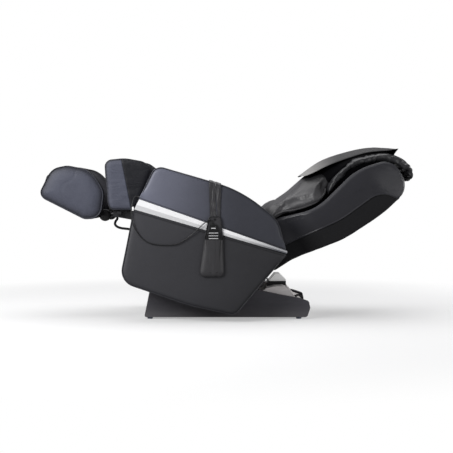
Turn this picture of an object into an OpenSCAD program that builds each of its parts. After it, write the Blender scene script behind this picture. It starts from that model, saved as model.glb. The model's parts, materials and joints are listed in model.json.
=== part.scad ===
// Reclining massage chair in its laid-back position: a steel base under
// moulded skirts, a tilting seat between two padded arms, a hinged back with
// a travelling massage carriage, and a leg unit with calf and foot wells.
// Millimetres. +X runs towards the head, +Z up, Y = 0 is the middle plane.
// The origin is on the floor below the middle of the chair.

/* [Position] */
// Rearward tilt of the seat and arms when laid back
seat_tilt = 19.3; // [17:0.1:20]
// Angle from the seat line up to the back when laid back
back_angle = 53.3; // [52:0.1:55]

/* [Seat and arms] */
// Height of the seat tilt pivot above the floor
pivot_height = 210; // [206:1:214]
// Distance from the middle plane to the inner face of an arm
arm_inner = 248; // [247:1:256]
// Thickness of a padded arm
arm_thickness = 144; // [136:1:150]
// Rounding of the arm's padded edges
arm_edge = 20; // [14:1:24]
// Height of the trim seam above the seat pivot line
seam_height = 252; // [248:1:256]
// Thickness of the seat cushion
cushion_thickness = 80; // [72:1:82]
// Thickness of the sheet pan under the seat cushion
pan_thickness = 4; // [3:0.5:5]
// Width of the strap over the arm
strap_width = 54; // [44:1:60]
// Thickness of the strap
strap_thickness = 3; // [2.4:0.1:3.2]

/* [Base] */
// Half width of the base over its skirts
base_half_width = 240; // [236:1:242]
// Thickness of the moulded skirt
skirt_wall = 4; // [3:0.5:5]
// Height of the rubber feet
foot_height = 9; // [9:1:12]
// Radius of the rear transport wheels
wheel_radius = 25; // [22:1:27]

/* [Back] */
// Half width of the back at the shoulders
shoulder_half_width = 290; // [282:1:296]
// Half width of the back at the waist
waist_half_width = 239; // [234:1:241]
// Thickness of the leather side band
band_thickness = 34; // [28:1:36]
// Wall of the rear cover
rear_wall = 5; // [4:0.5:6]
// Radius of the lead screw
screw_radius = 8; // [7:0.5:9]
// Radius of a massage roller
roller_radius = 24; // [20:1:26]

/* [Leg unit] */
// Half width of the calf and foot units
leg_half_width = 236; // [230:1:240]
// Thickness of the padded side walls
leg_wall = 70; // [62:1:76]
// Half thickness of the padded divider between the legs
divider_half = 28; // [22:1:34]
// Radius of the foot unit's hub discs
hub_radius = 29; // [26:1:30]

/* [Fits] */
// Radius of the seat and hip pins
pin_radius = 10; // [9:0.5:11]
// Radius of the knee pins
knee_pin_radius = 8; // [7:0.5:9]
// Running clearance on pins and rods
running = 0.05; // [0.03:0.01:0.08]
// Clearance between touching pieces that move
gap = 0.4; // [0.35:0.05:0.5]

/* [Hidden] */

$fn = 48;
corner_step = 15;   // largest turn of one step round a corner, degrees

// ---------- plane geometry ----------

function unit(v) = v / norm(v);
function left_of(v) = [-v[1], v[0]];
function turned(v, a) = [v[0] * cos(a) - v[1] * sin(a), v[0] * sin(a) + v[1] * cos(a)];
function turn_angle(d1, d2) = atan2(d1[0] * d2[1] - d1[1] * d2[0], d1[0] * d2[0] + d1[1] * d2[1]);
function xy(p) = [p[0], p[1]];
function before(list, i) = list[(i + len(list) - 1) % len(list)];
function after(list, i) = list[(i + 1) % len(list)];

// Points round corner c with radius r, between directions d1 and d2
function corner_arc(c, r, d1, d2) =
    let (turn = turn_angle(d1, d2), side = turn < 0 ? -1 : 1)
    r <= 0 || abs(turn) < 0.5 ? [c] :
    let (start = c - d1 * r * tan(abs(turn) / 2),
         centre = start + left_of(d1) * r * side,
         steps = max(1, ceil(abs(turn) / corner_step)))
    [for (k = [0 : steps]) centre + turned(start - centre, turn * k / steps)];

// A closed outline from corners [x, z, radius]
function outline(corners) =
    [for (i = [0 : len(corners) - 1])
        let (p = xy(before(corners, i)), c = xy(corners[i]), n = xy(after(corners, i)))
        each corner_arc(c, corners[i][2], unit(c - p), unit(n - c))];

// The same corners moved in by d; corners run anticlockwise
function inset(corners, d) =
    [for (i = [0 : len(corners) - 1])
        let (p = xy(before(corners, i)), c = xy(corners[i]), n = xy(after(corners, i)),
             n1 = left_of(unit(c - p)), n2 = left_of(unit(n - c)),
             m = (n1 + n2) / (1 + n1 * n2), convex = turn_angle(unit(c - p), unit(n - c)) > 0)
        [c[0] + m[0] * d, c[1] + m[1] * d,
         corners[i][2] <= 0 ? 0 : max(0.5, corners[i][2] + (convex ? -d : d))]];

// A band of width w along the right-hand side of an open path
function strip(path, w) =
    let (n = len(path), along = [for (i = [0 : n - 2]) unit(path[i + 1] - path[i])],
         edge = [for (i = [n - 1 : -1 : 0])
             let (a = left_of(along[max(i - 1, 0)]), b = left_of(along[min(i, n - 2)]))
             path[i] - (a + b) / (1 + a * b) * w])
    concat(path, edge);

// ---------- building blocks ----------

module both_sides() {
    children();
    mirror([0, 1, 0]) children();
}

// A side profile in X and Z, from y0 to y1
module side_plate(points, y0, y1) {
    translate([0, y1, 0]) rotate([90, 0, 0]) linear_extrude(height = y1 - y0) polygon(points);
}

// A round bar along Y
module bar_y(x, z, r, y0, y1) {
    translate([x, y0, z]) rotate([-90, 0, 0]) cylinder(r = r, h = y1 - y0);
}

// A plate between two round ends, as a lever or lug
module lug(a, b, ra, rb, y0, y1) {
    side = left_of(unit(b - a));
    side_plate([a - side * ra, b - side * rb, b + side * rb, a + side * ra], y0, y1);
    bar_y(a[0], a[1], ra, y0, y1);
    bar_y(b[0], b[1], rb, y0, y1);
}

// A slab with padded, rounded edges: its outline draws in by e at both faces
module padded_slab(corners, y0, y1, e) {
    function ring(a, y) = [for (p = outline(inset(corners, e * (1 - sin(a))))) [p[0], y, p[1]]];
    loft(concat([for (a = [0, 45, 90]) ring(a, y0 + e * (1 - cos(a)))],
                [for (a = [90, 45, 0]) ring(a, y1 - e * (1 - cos(a)))]));
}

// A closed skin over rings of equal point counts
module loft(rings) {
    n = len(rings[0]);
    m = len(rings);
    sides = [for (i = [0 : m - 2], j = [0 : n - 1])
        let (a = i * n + j, b = i * n + (j + 1) % n)
        each [[a, b, a + n], [b, b + n, a + n]]];
    first = [for (j = [1 : n - 2]) [0, j + 1, j]];
    last = [for (j = [1 : n - 2]) [(m - 1) * n, (m - 1) * n + j, (m - 1) * n + j + 1]];
    polyhedron(points = [for (r = rings) each r], faces = concat(sides, first, last));
}

// A rounded-box section across Y at station x: half width w, from z0 to z1,
// raised by crown in the middle of the top; power sets how square it is
function pad_ring(x, w, z0, z1, crown, count, power = 5) =
    [for (k = [0 : count - 1])
        let (a = -360 * (k + 0.5) / count, c = cos(a), s = sin(a),
             y = w * sign(c) * pow(abs(c), 2 / power),
             t = sign(s) * pow(abs(s), 2 / power),
             lift = t > 0 ? crown * t * (1 - (y / w) * (y / w)) : 0)
        [x, y, (z0 + z1) / 2 + t * (z1 - z0) / 2 + lift]];

// Catmull-Rom points through a list, k steps a span
function smooth_path(p, k) = concat(
    [for (i = [0 : len(p) - 2], s = [0 : k - 1])
        let (t = s / k, a = p[max(i - 1, 0)], b = p[i], c = p[i + 1], d = p[min(i + 2, len(p) - 1)])
        0.5 * (2 * b + (c - a) * t + (2 * a - 5 * b + 4 * c - d) * t * t
               + (3 * b - a - 3 * c + d) * t * t * t)], [p[len(p) - 1]]);
function tangents(p) = [for (i = [0 : len(p) - 1]) unit(p[min(i + 1, len(p) - 1)] - p[max(i - 1, 0)])];
function carried(t, i, made) = i == len(t) ? made :
    let (n = made[i - 1]) carried(t, i + 1, concat(made, [unit(n - t[i] * (n * t[i]))]));
function any_normal(t) = unit(cross(t, abs(t[2]) < 0.9 ? [0, 0, 1] : [1, 0, 0]));

// A tube of radius r with n sides through the points
module tube(points, r, n) {
    t = tangents(points);
    normals = carried(t, 1, [any_normal(t[0])]);
    loft([for (i = [0 : len(points) - 1])
        let (b = cross(t[i], normals[i]))
        [for (k = [0 : n - 1])
            points[i] - r * (cos(360 * k / n) * normals[i] - sin(360 * k / n) * b)]]);
}

// ---------- frames ----------

seat_pivot = [-110, pivot_height];          // X and Z in the chair
hip = [206, 199];                           // in the seat frame
knee = [-370, 170];
hub = [-195, 9];                            // in the leg frame
function seat_to_chair(p) = seat_pivot + turned(p, -seat_tilt);
function back_to_seat(p) = hip + turned(p, back_angle);
knee_chair = seat_to_chair(knee);

module in_seat() translate([seat_pivot[0], 0, seat_pivot[1]]) rotate([0, seat_tilt, 0]) children();
module in_back() in_seat() translate([hip[0], 0, hip[1]]) rotate([0, -back_angle, 0]) children();
module in_leg() translate([knee_chair[0], 0, knee_chair[1]]) children();

// ---------- base ----------

chassis_rail_y = [180, 205];
chassis_rail_z = [30, 65];
chassis_front = -350;
chassis_rear = 345;
upright_y = [186, 194];
ear_y = [200, 208];

skirt_corners = [
    [-399, foot_height, 10], [392, foot_height, 14], [407, 54, 20], [400, 86, 10],
    [352, 102, 40], [262, 118, 120], [150, 142, 100], [0, 158, 0], [-369, 158, 12]];
front_face = [[-399, foot_height], [-369, 158]];
skirt_rim = 26;                             // depth of the tray's rim

// Moulded tray: a plate with a rim all round, open towards the chassis
module skirt() {
    color([0.23, 0.22, 0.25]) difference() {
        side_plate(outline(skirt_corners), base_half_width - skirt_rim, base_half_width);
        side_plate(outline(inset(skirt_corners, skirt_wall)),
                   base_half_width - skirt_rim - 1, base_half_width - skirt_wall);
    }
}

module base_skirts() both_sides() skirt();

module base_front_cover() {
    half = base_half_width - skirt_rim - gap;
    lean = [skirt_wall + 1, 0];
    color([0.22, 0.21, 0.24])
        side_plate([front_face[0], front_face[0] + lean, front_face[1] + lean, front_face[1]], -half, half);
}

rear_slope = [[298, 147], [303, 145], [346, 92], [380, 80], [386, 68], [374, foot_height + 2]];
switch_lean = atan2(rear_slope[1][1] - rear_slope[2][1], rear_slope[2][0] - rear_slope[1][0]);
slope_out = [sin(switch_lean), cos(switch_lean)];
function on_slope(t) = rear_slope[1] + (rear_slope[2] - rear_slope[1]) * t;
switch_mid = on_slope(0.32);
gland_mid = on_slope(0.84);
switch_y = -30;
gland_y = -150;
gland_radius = 7;
gland_length = 5.5;                         // how far the gland stands out
module base_rear_cover() {
    half = base_half_width - skirt_rim - gap;
    color([0.50, 0.48, 0.47]) difference() {
        side_plate(strip(rear_slope, skirt_wall), -half, half);
        translate([switch_mid[0], switch_y, switch_mid[1]]) rotate([0, switch_lean, 0])
            cube([switch_size[0] + 1, switch_size[1] + 0.8, 40], center = true);
        translate([gland_mid[0], gland_y, gland_mid[1]]) rotate([0, switch_lean, 0])
            cylinder(r = gland_radius + running, h = 40, center = true);
    }
}

switch_size = [20, 14.8];
module power_switch() {
    color([0.05, 0.05, 0.05])
        translate([switch_mid[0], switch_y, switch_mid[1]]) rotate([0, switch_lean, 0]) {
            difference() {
                translate([-switch_size[0] / 2, -switch_size[1] / 2, -9])
                    cube([switch_size[0], switch_size[1], 11]);
                bar_y(0, 20, 19.4, -8, 8);
            }
        }
}

module cord_gland() {
    color([0.06, 0.06, 0.06])
        translate([gland_mid[0], gland_y, gland_mid[1]]) rotate([0, switch_lean, 0])
            rotate_extrude() polygon([[0, -8], [gland_radius, -8], [gland_radius, 0.3], [9.5, 0.3],
                                      [9.5, 2], [6, gland_length], [0, gland_length]]);
}

foot_x = [-372, 352];
foot_y = base_half_width - 18;
module base_feet() {
    color([0.35, 0.38, 0.45]) both_sides() for (x = foot_x)
        translate([x, foot_y, 0]) rotate_extrude()
            polygon([[0, 0], [11, 0], [13, 2], [13, foot_height - 1], [12, foot_height], [0, foot_height]]);
}

wheel_axle = [318, wheel_radius + 3];
wheel_y = [140, 162];
module transport_wheel() {
    mid = (wheel_y[0] + wheel_y[1]) / 2;
    half = (wheel_y[1] - wheel_y[0]) / 2 - 0.3;
    color([0.10, 0.10, 0.11]) translate([wheel_axle[0], mid, wheel_axle[1]]) rotate([90, 0, 0])
        rotate_extrude() polygon([[5 + running, -half], [11, -half], [11, -half + 4],
            [wheel_radius - 7, -half + 4], [wheel_radius - 6, -half], [wheel_radius - 2, -half],
            [wheel_radius, -half + 3], [wheel_radius, half - 3], [wheel_radius - 2, half],
            [wheel_radius - 6, half], [wheel_radius - 7, half - 4], [11, half - 4], [11, half],
            [5 + running, half]]);
}
module transport_wheel_left() mirror([0, 1, 0]) transport_wheel();
module transport_wheel_right() transport_wheel();

seat_motor_foot = [-250, 62];               // in the chair
tray_thickness = 4;
trunnion = 6;                               // radius of a motor's pivot pin
eye_pin = 5;                                // radius of the pin in a rod's eye
module base_chassis() {
    color([0.55, 0.55, 0.56]) {
        both_sides() {
            // side rail
            translate([chassis_front, chassis_rail_y[0], chassis_rail_z[0]])
                cube([chassis_rear - chassis_front, chassis_rail_y[1] - chassis_rail_y[0],
                      chassis_rail_z[1] - chassis_rail_z[0]]);
            // upright with its pivot pin
            side_plate([[seat_pivot[0] - 90, chassis_rail_z[1] - 1], [seat_pivot[0] + 90, chassis_rail_z[1] - 1],
                        [seat_pivot[0] + 22, seat_pivot[1] + 4], [seat_pivot[0] - 22, seat_pivot[1] + 4]],
                       upright_y[0], upright_y[1]);
            bar_y(seat_pivot[0], seat_pivot[1], 24, upright_y[0], upright_y[1]);
            bar_y(seat_pivot[0], seat_pivot[1], pin_radius, upright_y[0], ear_y[1] + 2);
            // pads on the skirt floor, over the feet
            for (x = foot_x) {
                translate([x - 14, chassis_rail_y[0], foot_height + skirt_wall])
                    cube([28, base_half_width - skirt_wall - 2 - chassis_rail_y[0], 4]);
                translate([x - 14, chassis_rail_y[0], foot_height + skirt_wall + 3.9])
                    cube([28, chassis_rail_y[1] - chassis_rail_y[0],
                          chassis_rail_z[0] - foot_height - skirt_wall]);
            }
            for (x = [-372, 330])
                translate([x, chassis_rail_y[0], chassis_rail_z[0]])
                    cube([40, chassis_rail_y[1] - chassis_rail_y[0], 20]);
            // wheel fork and axle
            for (y = [wheel_y[0] - 6, wheel_y[1] + 1])
                side_plate([[wheel_axle[0] - 12, wheel_axle[1] - 10], [wheel_axle[0] + 12, wheel_axle[1] - 10],
                            [wheel_axle[0] + 12, chassis_rail_z[1]], [wheel_axle[0] - 12, chassis_rail_z[1]]],
                           y, y + 5);
            bar_y(wheel_axle[0], wheel_axle[1], 5, wheel_y[0] - 6, wheel_y[1] + 6);
        }
        // cross members
        for (x = [chassis_front, -60])
            translate([x, -chassis_rail_y[0] - 1, chassis_rail_z[0]])
                cube([40, 2 * chassis_rail_y[0] + 2, chassis_rail_z[1] - chassis_rail_z[0]]);
        translate([wheel_axle[0] - 20, -chassis_rail_y[0] - 1, chassis_rail_z[1] - 8])
            cube([40, 2 * chassis_rail_y[0] + 2, 8]);
        // tray under the control box and pump
        translate([-21, -130, chassis_rail_z[0]]) cube([wheel_axle[0] + 2, 260, tray_thickness]);
        translate([wheel_axle[0] - 20, -130, chassis_rail_z[0]])
            cube([4, 260, chassis_rail_z[1] - chassis_rail_z[0] - 7]);
        // clevis of the seat motor
        for (y = [-26, 20])
            difference() {
                lug(seat_motor_foot, [seat_motor_foot[0] - 70, 46], 14, 12, y, y + 6);
                bar_y(seat_motor_foot[0], seat_motor_foot[1], trunnion + running, y - 1, y + 7);
            }
    }
}

tray_top = chassis_rail_z[0] + tray_thickness;
box_x = [206, 296];
box_top = 172;
module control_box() {
    color([0.04, 0.04, 0.04]) difference() {
        translate([box_x[0], -95, tray_top])
            cube([box_x[1] - box_x[0], 190, box_top - tray_top]);
        // vent slots
        for (k = [0 : 7])
            translate([box_x[0] + 12 + k * 9, -96, 96]) cube([4, 6, 44]);
    }
}

module control_box_lid() {
    color([0.62, 0.62, 0.62])
        side_plate(outline([[214, box_top, 0], [296, box_top, 0], [299, box_top + 3, 0],
                            [267, 206, 6], [243, 206, 6]]), -72, 72);
}

module air_pump() {
    color([0.16, 0.16, 0.17]) {
        translate([20, -60, tray_top]) cube([120, 120, 56]);
        translate([30, 0, tray_top + 55]) rotate([0, 90, 0]) cylinder(r = 30, h = 96);
        for (y = [-40, 40]) translate([138, y, 66]) rotate([0, 90, 0]) cylinder(r = 5, h = 18);
    }
}

// ---------- mains cord ----------

mains_radius = 3.5;
module mains_cord() {
    color([0.05, 0.05, 0.05]) tube(smooth_path(mains_route, 3), mains_radius, 8);
}
function at_gland(d) = [gland_mid[0] + slope_out[0] * d, gland_y, gland_mid[1] + slope_out[1] * d];
mains_route = [
    at_gland(gland_length + 0.1), at_gland(gland_length + 4), [351.5, -150.5, 109], [357.5, -152, 107.5],
    [363, -155, 103], [368, -160, 96.5], [375, -168, 88.5],
    [383.5, -177, 83], [389.5, -186, 73.5], [390.5, -192, 62], [387, -196, 44], [382.5, -195, 25],
    [379, -188, 12], [376, -172, 4.5], [373, -150, 3.5], [371, -110, 3.5], [373, -50, 3.5], [371, 20, 3.5],
    [373, 100, 3.5], [372, 170, 3.5], [372, 230, 3.5], [372, 280, 3.5], [372, 313, 3.5]];

coil_turns = 5;
coil_centre = [330, 320];
coil_outer = 42;                            // radius of the outer turn's middle line
coil_pitch = 8;                             // from one turn to the next
coil_layer = 2 * mains_radius + 0.8;        // height of the upper layer over the lower
coil_tail = 44;                             // straight end that leads to the plug
function coil_point(t) =                    // t runs 0 to 1 along the coil
    let (turn = t * coil_turns, half = coil_turns / 2,
         inward = turn < half ? turn : coil_turns - turn,
         climb = min(max((turn - half + 0.25) / 0.5, 0), 1),
         a = 360 * turn)
    [coil_centre[0] + (coil_outer - coil_pitch * inward) * cos(a),
     coil_centre[1] + (coil_outer - coil_pitch * inward) * sin(a),
     mains_radius + coil_layer * climb];
coil_rings = coil_turns * 24;
coil_end = coil_point(1) + [0, coil_tail, 0];
coil_path = concat([coil_point(0) - [0, 2 * mains_radius, 0]],
                   [for (i = [0 : coil_rings]) coil_point(i / coil_rings)],
                   [coil_point(1) + [0, coil_tail / 2, 0], coil_end]);
coil_gap = min([for (i = [0 : len(coil_path) - 1], j = [0 : len(coil_path) - 1])
    if (j > i + 12) norm(coil_path[i] - coil_path[j])]) - 2 * mains_radius;
module cord_coil() {
    echo("least gap of the coil to itself, mm", coil_gap);
    color([0.05, 0.05, 0.05]) tube(coil_path, mains_radius, 6);
}

module mains_plug() {
    translate([coil_end[0], coil_end[1] + 0.1, coil_end[2]]) rotate([-90, 0, 0]) {
        color([0.06, 0.06, 0.06]) {
            rotate_extrude() polygon([[0, 0], [4.4, 0], [5.4, 26], [9, 30], [11, 42], [11, 46], [0, 46]]);
            translate([-11, -8, 30]) cube([22, 16, 18]);
        }
        color([0.75, 0.7, 0.5]) for (x = [-6.4, 6.4]) translate([x - 0.8, -3.1, 47]) cube([1.6, 6.2, 18]);
    }
}

// ---------- seat ----------

rail_y = [200, 226];
rail_v = [112, 150];
pan_top = rail_v[1] + pan_thickness;
leg_motor_pin = [-140, 70];
leg_lever = 50;
leg_lever_at = knee + leg_lever * [cos(-150), sin(-150)];
seat_lug = [-190, 14];
seat_motor_tube = [-170, 44];
back_motor_pin = [0, 110];
back_motor_tube = [-24, 126];
back_lever_at = hip + 80 * [cos(-70), sin(-70)];
front_tube = [-352, 92];
cross_tube = 11;
hose_y = -110;
hose_fitting = 4.5;

module seat_frame() {
    color([0.30, 0.30, 0.32]) in_seat() {
        both_sides() {
            translate([-386, rail_y[0], rail_v[0]]) cube([596, rail_y[1] - rail_y[0], rail_v[1] - rail_v[0]]);
            // seat pivot ear
            difference() {
                union() {
                    side_plate([[-70, rail_v[0] + 1], [-20, -6], [20, -6], [70, rail_v[0] + 1]], ear_y[0], ear_y[1]);
                    bar_y(0, 0, 24, ear_y[0], ear_y[1]);
                }
                bar_y(0, 0, pin_radius + running, ear_y[0] - 1, ear_y[1] + 1);
            }
            // knee ear with its pin
            lug(knee, [knee[0] + 12, rail_v[0] + 14], 20, 20, ear_y[0], ear_y[1]);
            bar_y(knee[0], knee[1], knee_pin_radius, upright_y[0] - 2, ear_y[1]);
            // hip ear with its pin
            lug(hip, [hip[0] - 16, rail_v[0] + 16], 22, 24, ear_y[0], ear_y[1]);
            bar_y(hip[0], hip[1], pin_radius, upright_y[0] - 2, ear_y[1]);
            // blocks that carry the arms
            for (u = [-260, 70])
                translate([u, rail_y[1] - 1, rail_v[0] + 4])
                    cube([50, arm_inner - rail_y[1] + 1, rail_v[1] - rail_v[0] - 8]);
        }
        // cross tubes and the rear cross plate
        for (c = [front_tube, seat_motor_tube, back_motor_tube])
            bar_y(c[0], c[1], cross_tube, -rail_y[0] - 1, rail_y[0] + 1);
        translate([152, -rail_y[0] - 1, rail_v[1] - 8]) cube([50, 2 * rail_y[0] + 2, 8]);
        for (c = [front_tube, seat_motor_tube], s = [-1, 1])
            translate([c[0], s * (rail_y[0] - 3.9) - 4, c[1] - 4]) cube([10, 8, rail_v[0] + 8 - c[1]]);
        // pan
        translate([-352, -rail_y[1], rail_v[1] - 0.01]) cube([480, 2 * rail_y[1], pan_thickness + 0.01]);
        // clevises of the leg motor and the back motor
        for (m = [[leg_motor_pin, seat_motor_tube], [back_motor_pin, back_motor_tube]], y = [-26, 20])
            difference() {
                lug(m[0], m[1], 13, 11, y, y + 6);
                bar_y(m[0][0], m[0][1], trunnion + running, y - 1, y + 7);
            }
        // arm of the seat motor and its pin
        for (y = [-24, 16]) lug(seat_lug, seat_motor_tube, 13, 11, y, y + 8);
        bar_y(seat_lug[0], seat_lug[1], eye_pin, -24, 24);
        // hose fitting
        translate([front_tube[0], hose_y, front_tube[1]]) rotate([0, -90 - seat_tilt, 0])
            cylinder(r = hose_fitting, h = 20);
    }
}

cushion_u = [knee[0] + 22, 148];
module seat_cushion() {
    half = arm_inner - 6;
    length = cushion_u[1] - cushion_u[0];
    top = pan_top + gap + cushion_thickness - 8;
    bottom = pan_top + gap;
    // stations along the seat: 0 at the knee end, 1 at the hips
    stations = [0, 0.012, 0.035, 0.075, 0.13, 0.2, 0.28, 0.33, 0.345, 0.36, 0.41, 0.5, 0.58, 0.63,
                0.645, 0.66, 0.71, 0.8, 0.88, 0.94, 0.975, 0.993, 1];
    function end_in(s) = min(1, sqrt(max(0, 1 - pow(max(0, 1 - min(s, 1 - s) / 0.07), 2))));
    function channel(s) = 7 * (exp(-pow((s - 0.345) / 0.018, 2)) + exp(-pow((s - 0.645) / 0.018, 2)));
    function ring(s) = let (e = 0.30 + 0.70 * end_in(s), mid = (top + bottom) / 2 - 6 * (1 - e))
        pad_ring(cushion_u[0] + length * s, half * (0.965 + 0.035 * e),
                 bottom + (mid - bottom) * (1 - e) * 0.8, mid + (top - mid) * e - channel(s), 8 * e, 24);
    color([0.12, 0.12, 0.13]) in_seat() loft([for (s = stations) ring(s)]);
}

// ---------- arms ----------

arm_outer = arm_inner + arm_thickness;
arm_corners = [
    [-370, -150, 80], [-20, -147, 900], [203, -120, 45], [338, 237, 8], [245, 376, 140],
    [30, 452, 600], [-388, 430, 40], [-420, 203, 8]];
trim_lower = [[-413, seam_height - 53], [334, seam_height - 13.4]];
rebate_depth = 12;
ridge = 1.5;                                // how far the trim's crease stands out
pad_front = -410;                           // front edge of the arm pad at the seam
pad_lean = 6.24;                            // rearward lean of that edge, degrees

module arm_form(grow = 0) {
    padded_slab(inset(arm_corners, -grow), arm_inner - grow, arm_outer + grow, arm_edge);
}
module arm_shell() {
    far = 700;
    color([0.22, 0.22, 0.25]) in_seat() difference() {
        intersection() {
            arm_form();
            side_plate([[-far, -far], [far, -far], [far, seam_height], [-far, seam_height]], 0, far);
        }
        side_plate([trim_lower[0] - [100, 5.3], trim_lower[1] + [100, 5.3], [far, far], [-far, far]],
                   arm_outer - rebate_depth, far);
    }
}
module arm_pad() {
    far = 700;
    color([0.30, 0.31, 0.35]) in_seat() intersection() {
        arm_form();
        side_plate([[pad_front, seam_height], [far, seam_height], [far, far], [pad_front + 49, far]], 0, far);
    }
}
module arm_shell_left() mirror([0, 1, 0]) arm_shell();
module arm_shell_right() arm_shell();
module arm_pad_left() mirror([0, 1, 0]) arm_pad();
module arm_pad_right() arm_pad();

module arm_trims() {
    face = arm_outer - 0.6;
    color([0.93, 0.93, 0.95]) in_seat() both_sides() hull() {
        side_plate([trim_lower[0] + [0, 0.3], trim_lower[1] + [0, 0.3], [331, seam_height], [-406, seam_height]],
                   arm_outer - rebate_depth, face);
        side_plate([[-410, seam_height - 29], [333, seam_height - 7.6], [333, seam_height - 6.6],
                    [-410, seam_height - 27]], face, arm_outer + ridge);
    }
}

strap_x = [-81, -81 + strap_width];
strap_foot = 478;
module arm_strap() {
    color([0.25, 0.25, 0.26]) {
        intersection() {
            in_seat() mirror([0, 1, 0]) difference() {
                arm_form(gap + strap_thickness);
                arm_form(gap);
            }
            union() {
                translate([strap_x[0], -arm_outer - 60, strap_foot])
                    cube([strap_width, 60 + arm_thickness / 2, 400]);
                translate([strap_x[0], -arm_outer, 585]) cube([strap_width, arm_thickness + 30, 300]);
            }
        }
        bar_y(stud[0], stud[1], 4, -pouch_back[1] - 0.1, -arm_outer - gap - 0.5);
    }
}

// ---------- remote and its pouch ----------

stud = [-55, 488];
pouch_back = [arm_outer + gap + strap_thickness + gap, arm_outer + gap + strap_thickness + gap + 1.4];
remote_y = [pouch_back[1] + 0.3, pouch_back[1] + 12.3];
pouch_front = [remote_y[1] + 0.3, remote_y[1] + 1.7];
pouch_lip = 392;
pouch_corners = [[-116, 219, 22], [-19, 219, 22], [-19, 400, 30], [-28, 502, 12], [-82, 502, 12], [-102, 400, 30]];
module remote_pouch() {
    low = [[-200, 0], [100, 0], [100, pouch_lip], [-200, pouch_lip]];
    color([0.24, 0.23, 0.25]) {
        difference() {
            side_plate(outline(pouch_corners), -pouch_back[1], -pouch_back[0]);
            bar_y(stud[0], stud[1], 4 + running, -pouch_back[1] - 1, -pouch_back[0] + 1);
        }
        intersection() {
            difference() {
                side_plate(outline(inset(pouch_corners, 1)), -pouch_front[1], -pouch_back[1] + 0.1);
                intersection() {
                    side_plate(outline(inset(pouch_corners, 5)), -pouch_front[0], -pouch_back[1]);
                    side_plate([[-200, 0], [100, 0], [100, pouch_lip + 9], [-200, pouch_lip + 9]],
                               -pouch_front[0], -pouch_back[1]);
                }
            }
            side_plate(low, -pouch_front[1] - 1, -pouch_back[1] + 1);
        }
    }
}

remote_corners = [[-88, 236, 12], [-38, 236, 12], [-30, 330, 60], [-26, 414, 14], [-42, 440, 10],
                  [-44, 463, 5], [-78, 463, 5], [-80, 440, 10], [-96, 414, 14], [-92, 330, 60]];
button_z = [424, 411, 398];
button_size = [48, 7];
button_travel = 1;
remote_mid = -61;
module remote_handset() {
    color([0.14, 0.13, 0.13]) difference() {
        union() {
            side_plate(outline(remote_corners), -remote_y[1], -remote_y[0]);
            translate([remote_mid - 7, -(remote_y[0] + remote_y[1]) / 2, 462]) cylinder(r = 4.2, h = 10);
        }
        for (z = button_z)
            translate([remote_mid - button_size[0] / 2 - 0.3, -remote_y[1] - 1, z - button_size[1] / 2 - 0.3])
                cube([button_size[0] + 0.6, 5, button_size[1] + 0.6]);
    }
}
module remote_button(z) {
    color([0.75, 0.75, 0.76])
        translate([remote_mid - button_size[0] / 2, -remote_y[1] - 1, z - button_size[1] / 2])
            cube([button_size[0], 3.4, button_size[1]]);
}
module remote_button_1() remote_button(button_z[0]);
module remote_button_2() remote_button(button_z[1]);
module remote_button_3() remote_button(button_z[2]);

remote_gland_at = [pad_front + 0.7, -362, seam_height + 7];    // in the seat frame
module remote_gland() {
    color([0.1, 0.1, 0.1]) in_seat() translate(remote_gland_at) rotate([0, -90 + pad_lean, 0])
        rotate_extrude() polygon([[0, 0.3], [6, 0.3], [6, 3], [4.2, 4], [3.6, 8.5], [0, 8.5]]);
}

remote_cord_radius = 2.5;
remote_route = [
    [-418.7, -362, 593.5], [-422.3, -362, 595.2], [-429.5, -366, 595], [-436.5, -372, 586.5], [-441, -379, 571],
    [-444, -386, 554], [-447, -392, 533], [-447, -396, 508], [-440, -397.5, 468], [-421, -397.5, 429],
    [-394, -397.5, 396], [-360, -397.5, 376], [-322, -397.5, 369], [-285, -397.5, 367], [-252, -397.5, 368],
    [-222, -397.5, 376], [-192, -397.5, 394], [-162, -398.5, 416], [-134, -400, 442], [-112, -402.5, 463],
    [-95, -403.5, 477], [-80, -403.5, 486], [-71, -403.5, 485], [-68, -403.5, 479], [-68, -403.5, 472.2]];
module remote_cord() {
    color([0.08, 0.08, 0.08]) tube(smooth_path(remote_route, 2), remote_cord_radius, 8);
}

// ---------- back ----------

band_lower = [[44, -36, 6], [210, -62, 300], [420, -96, 400], [660, -92, 90], [712, -168, 4]];
band_corners = [each band_lower, [783, -168, 60], [783, 16, 88], [610, 64, 300], [345, 12, 260], [165, 82, 200], [44, 88, 10]];
cover_seam = [-0.3, -0.5, 0];                // from the band's lower edge to the cover
cover_corners = [
    [12, -126, 8], [110, -128, 200], [400, -186, 500], [600, -184, 500],
    each [for (i = [4 : -1 : 1]) band_lower[i] + cover_seam], [12, -32, 6]];
// plan of the back: half width against distance from the hip
plan_half = [[0, waist_half_width, 0], [190, waist_half_width, 80], [300, shoulder_half_width, 120],
             [660, shoulder_half_width, 160], [800, shoulder_half_width - 44, 0]];
function plan_edge(d) =
    let (p = [for (c = plan_half) [c[0], c[1] - d, c[2]]],
         closed = concat([[-60, 0, 0], [-60, p[0][1], 0]], p, [[860, p[4][1] - 10, 0], [860, 0, 0]]),
         o = outline([for (i = [len(closed) - 1 : -1 : 0]) closed[i]]))
    o;
module plan_solid(d) {
    translate([0, 0, -260]) linear_extrude(height = 520) polygon(plan_edge(d));
}
module back_band() {
    color([0.18, 0.18, 0.20]) in_back() intersection() {
        side_plate(outline(band_corners), 0, 320);
        difference() {
            plan_solid(0);
            plan_solid(band_thickness);
        }
    }
}
module back_bands() both_sides() back_band();

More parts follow.
